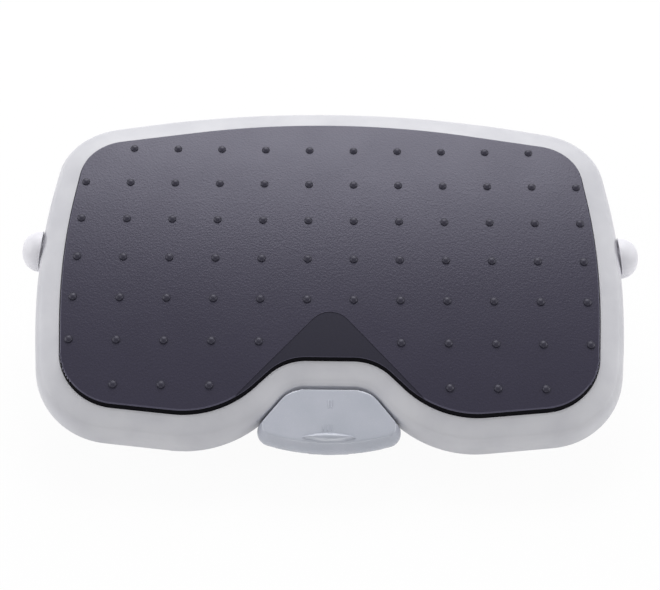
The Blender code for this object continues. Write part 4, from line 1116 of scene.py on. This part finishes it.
def coil_tree():
    """A node tree that winds a round wire into an open coil about Z."""
    tree, given = new_tree("release_coil_tree", "Turns", "Coil radius", "Coil length", "Wire radius")
    line = add_node(
        tree,
        "GeometryNodeCurveSpiral",
        links={
            "Rotations": given["Turns"],
            "Start Radius": given["Coil radius"],
            "End Radius": given["Coil radius"],
            "Height": given["Coil length"],
        },
        Resolution=spring_coil_steps,
    )
    wire = add_node(
        tree,
        "GeometryNodeCurvePrimitiveCircle",
        links={"Radius": given["Wire radius"]},
        Resolution=spring_wire_steps,
    )
    tube = add_node(
        tree,
        "GeometryNodeCurveToMesh",
        links={"Curve": line.outputs[0], "Profile Curve": wire.outputs[0]},
        Fill_Caps=True,
    )
    return close_tree(tree, given, tube.outputs[0])


def make_spring():
    """The release spring as a fine coil that the shoe squeezes against the cradle's wall."""
    inset = spring_wire_radius + seat_gap
    back, front = -shoe_front - inset, -wall_back + inset
    values = {
        "Turns": spring_turns,
        "Coil radius": spring_coil_radius,
        "Coil length": back - front,
        "Wire radius": spring_wire_radius,
        "Finish": spring_steel,
    }
    spring = grow(bpy.data.meshes.new("spring"), coil_tree(), values)
    lie = Matrix.Translation((0, front, -rod_drop)) @ forward.inverted()
    spring.name = spring.data.name = "release_spring_wire"
    spring.data.transform(platform_home @ lie)
    spring.data.shade_smooth()
    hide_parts("release_spring")
    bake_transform(spring)


# Carried-over solids


def refine(node, finish, body):
    """A merged copy of a solid with softly broken edges, in its real finish."""
    item = frame["nodes"][node].copy()
    item.data = item.data.copy()
    item.parent = None
    for key in list(item.keys()):
        del item[key]
    bpy.context.scene.collection.objects.link(item)
    with editing(item, solid_weld_distance) as shape:
        flat = math.radians(flat_degrees)
        bmesh.ops.dissolve_limit(shape, angle_limit=flat, verts=shape.verts, edges=shape.edges)
    soft = item.modifiers.new("broken edges", "BEVEL")
    soft.width = broken_edge
    soft.segments = broken_edge_steps
    soft.limit_method = "ANGLE"
    soft.angle_limit = math.radians(broken_edge_degrees)
    bake(item)
    dress(item, f"{node}_finished", finish, body, [node])


def finish_solids():
    """Gives each solid its slot's finish. The moulded and sintered ones get pieces with broken edges."""
    finishes = {
        "rim_grey": rim_abs,
        "pedal_grey": pedal_abs,
        "frame_grey": frame_abs,
        "mechanism_black": mechanism_nylon,
        "mat_rubber": mat_rubber,
        "foot_rubber": foot_rubber,
        "plated_steel": zinc_steel,
        "sector_steel": sector_steel,
        "bush_plastic": bush_acetal,
    }
    slots = {part["node"]: part["material_slot"] for part in frame["record"]["subparts"]}
    for body, nodes in bodies.items():
        for node in nodes:
            slot = slots[node]
            materials = frame["nodes"][node].data.materials
            materials.clear()
            materials.append(finishes[slot])
            edges_show = slot in ("frame_grey", "mechanism_black", "sector_steel")
            if edges_show and not node.endswith("_hub_cap"):
                refine(node, finishes[slot], body)


# Room


def make_camera():
    """The photograph's camera."""
    turn = Matrix.Identity(4)
    for degrees, axis in (
        (-camera_yaw_degrees, "Z"),
        (90 - camera_elevation_degrees, "X"),
        (camera_roll_degrees, "Z"),
    ):
        turn = turn @ Matrix.Rotation(math.radians(degrees), 4, axis)
    lens = bpy.data.cameras.new("photo_camera")
    lens.sensor_fit = "HORIZONTAL"
    lens.sensor_width = sensor_width_millimetres
    lens.lens = focal_pixels * sensor_width_millimetres / photo_width_pixels
    lens.clip_start, lens.clip_end = camera_near, camera_far
    camera = new_object("photo_camera", lens)
    camera.matrix_world = platform_home @ Matrix.Translation(camera_place) @ turn
    bpy.context.scene.camera = camera


def make_lights():
    """Soft studio light: a wide box behind and above, a low front fill and one box at each side."""
    for name, (place, size, power) in softboxes.items():
        lamp = bpy.data.lights.new(name, "AREA")
        lamp.shape = "RECTANGLE"
        lamp.size, lamp.size_y = size
        lamp.energy = power
        item = new_object(name, lamp)
        item.location = place
        ahead = Vector(softbox_target) - Vector(place)
        item.rotation_euler = ahead.to_track_quat("-Z", "Y").to_euler()


def white_seen(tree):
    """One for what the camera, reflections and clear pieces see, and nothing for the light itself."""
    rays = add_node(tree, "ShaderNodeLightPath").outputs
    seen = rays["Is Camera Ray"]
    for kind in ("Is Glossy Ray", "Is Transmission Ray"):
        settings = {"operation": "ADD", "use_clamp": True}
        seen = add_node(tree, "ShaderNodeMath", settings, {0: seen, 1: rays[kind]}).outputs[0]
    return seen


def make_room():
    """A white floor that keeps a light shadow, and an even white world."""
    world = bpy.data.worlds.new("studio_room")
    bpy.context.scene.world = world
    world.use_nodes = True
    tree = world.node_tree
    background = tree.nodes["Background"]
    background.inputs["Color"].default_value = (1, 1, 1, 1)
    seen = white_seen(tree)
    level = add_node(tree, "ShaderNodeMapRange", links={0: seen}, To_Min=room_level, To_Max=1.0)
    tree.links.new(level.outputs[0], background.inputs["Strength"])

    paper = bpy.data.materials.new("seamless_paper")
    paper.use_nodes = True
    tree = paper.node_tree
    shader = tree.nodes["Principled BSDF"]
    shader.inputs["Base Color"].default_value = linear(floor_colour)
    shader.inputs["Roughness"].default_value = floor_roughness
    glow = add_node(tree, "ShaderNodeEmission", Strength=1.0)
    seen = white_seen(tree)
    share = add_node(tree, "ShaderNodeMath", {"operation": "MULTIPLY"}, {0: seen})
    share.inputs[1].default_value = floor_glow_share
    mix = add_node(tree, "ShaderNodeMixShader", links={0: share.outputs[0], 1: shader.outputs[0]})
    tree.links.new(glow.outputs[0], mix.inputs[2])
    tree.links.new(mix.outputs[0], tree.nodes["Material Output"].inputs["Surface"])

    shape = bmesh.new()
    bmesh.ops.create_grid(shape, x_segments=2, y_segments=2, size=floor_half_width)
    mesh = bpy.data.meshes.new("studio_floor")
    shape.to_mesh(mesh)
    shape.free()
    mesh.materials.append(paper)
    new_object("studio_floor", mesh)


finish_solids()
make_mat()
make_bumps()
make_rim()
make_pedal()
make_hub_cap(-1, "left_hub_cap")
make_hub_cap(1, "right_hub_cap")
make_screws()
make_spring()
make_camera()
make_lights()
make_room()
bpy.context.scene.view_settings.view_transform = "Standard"
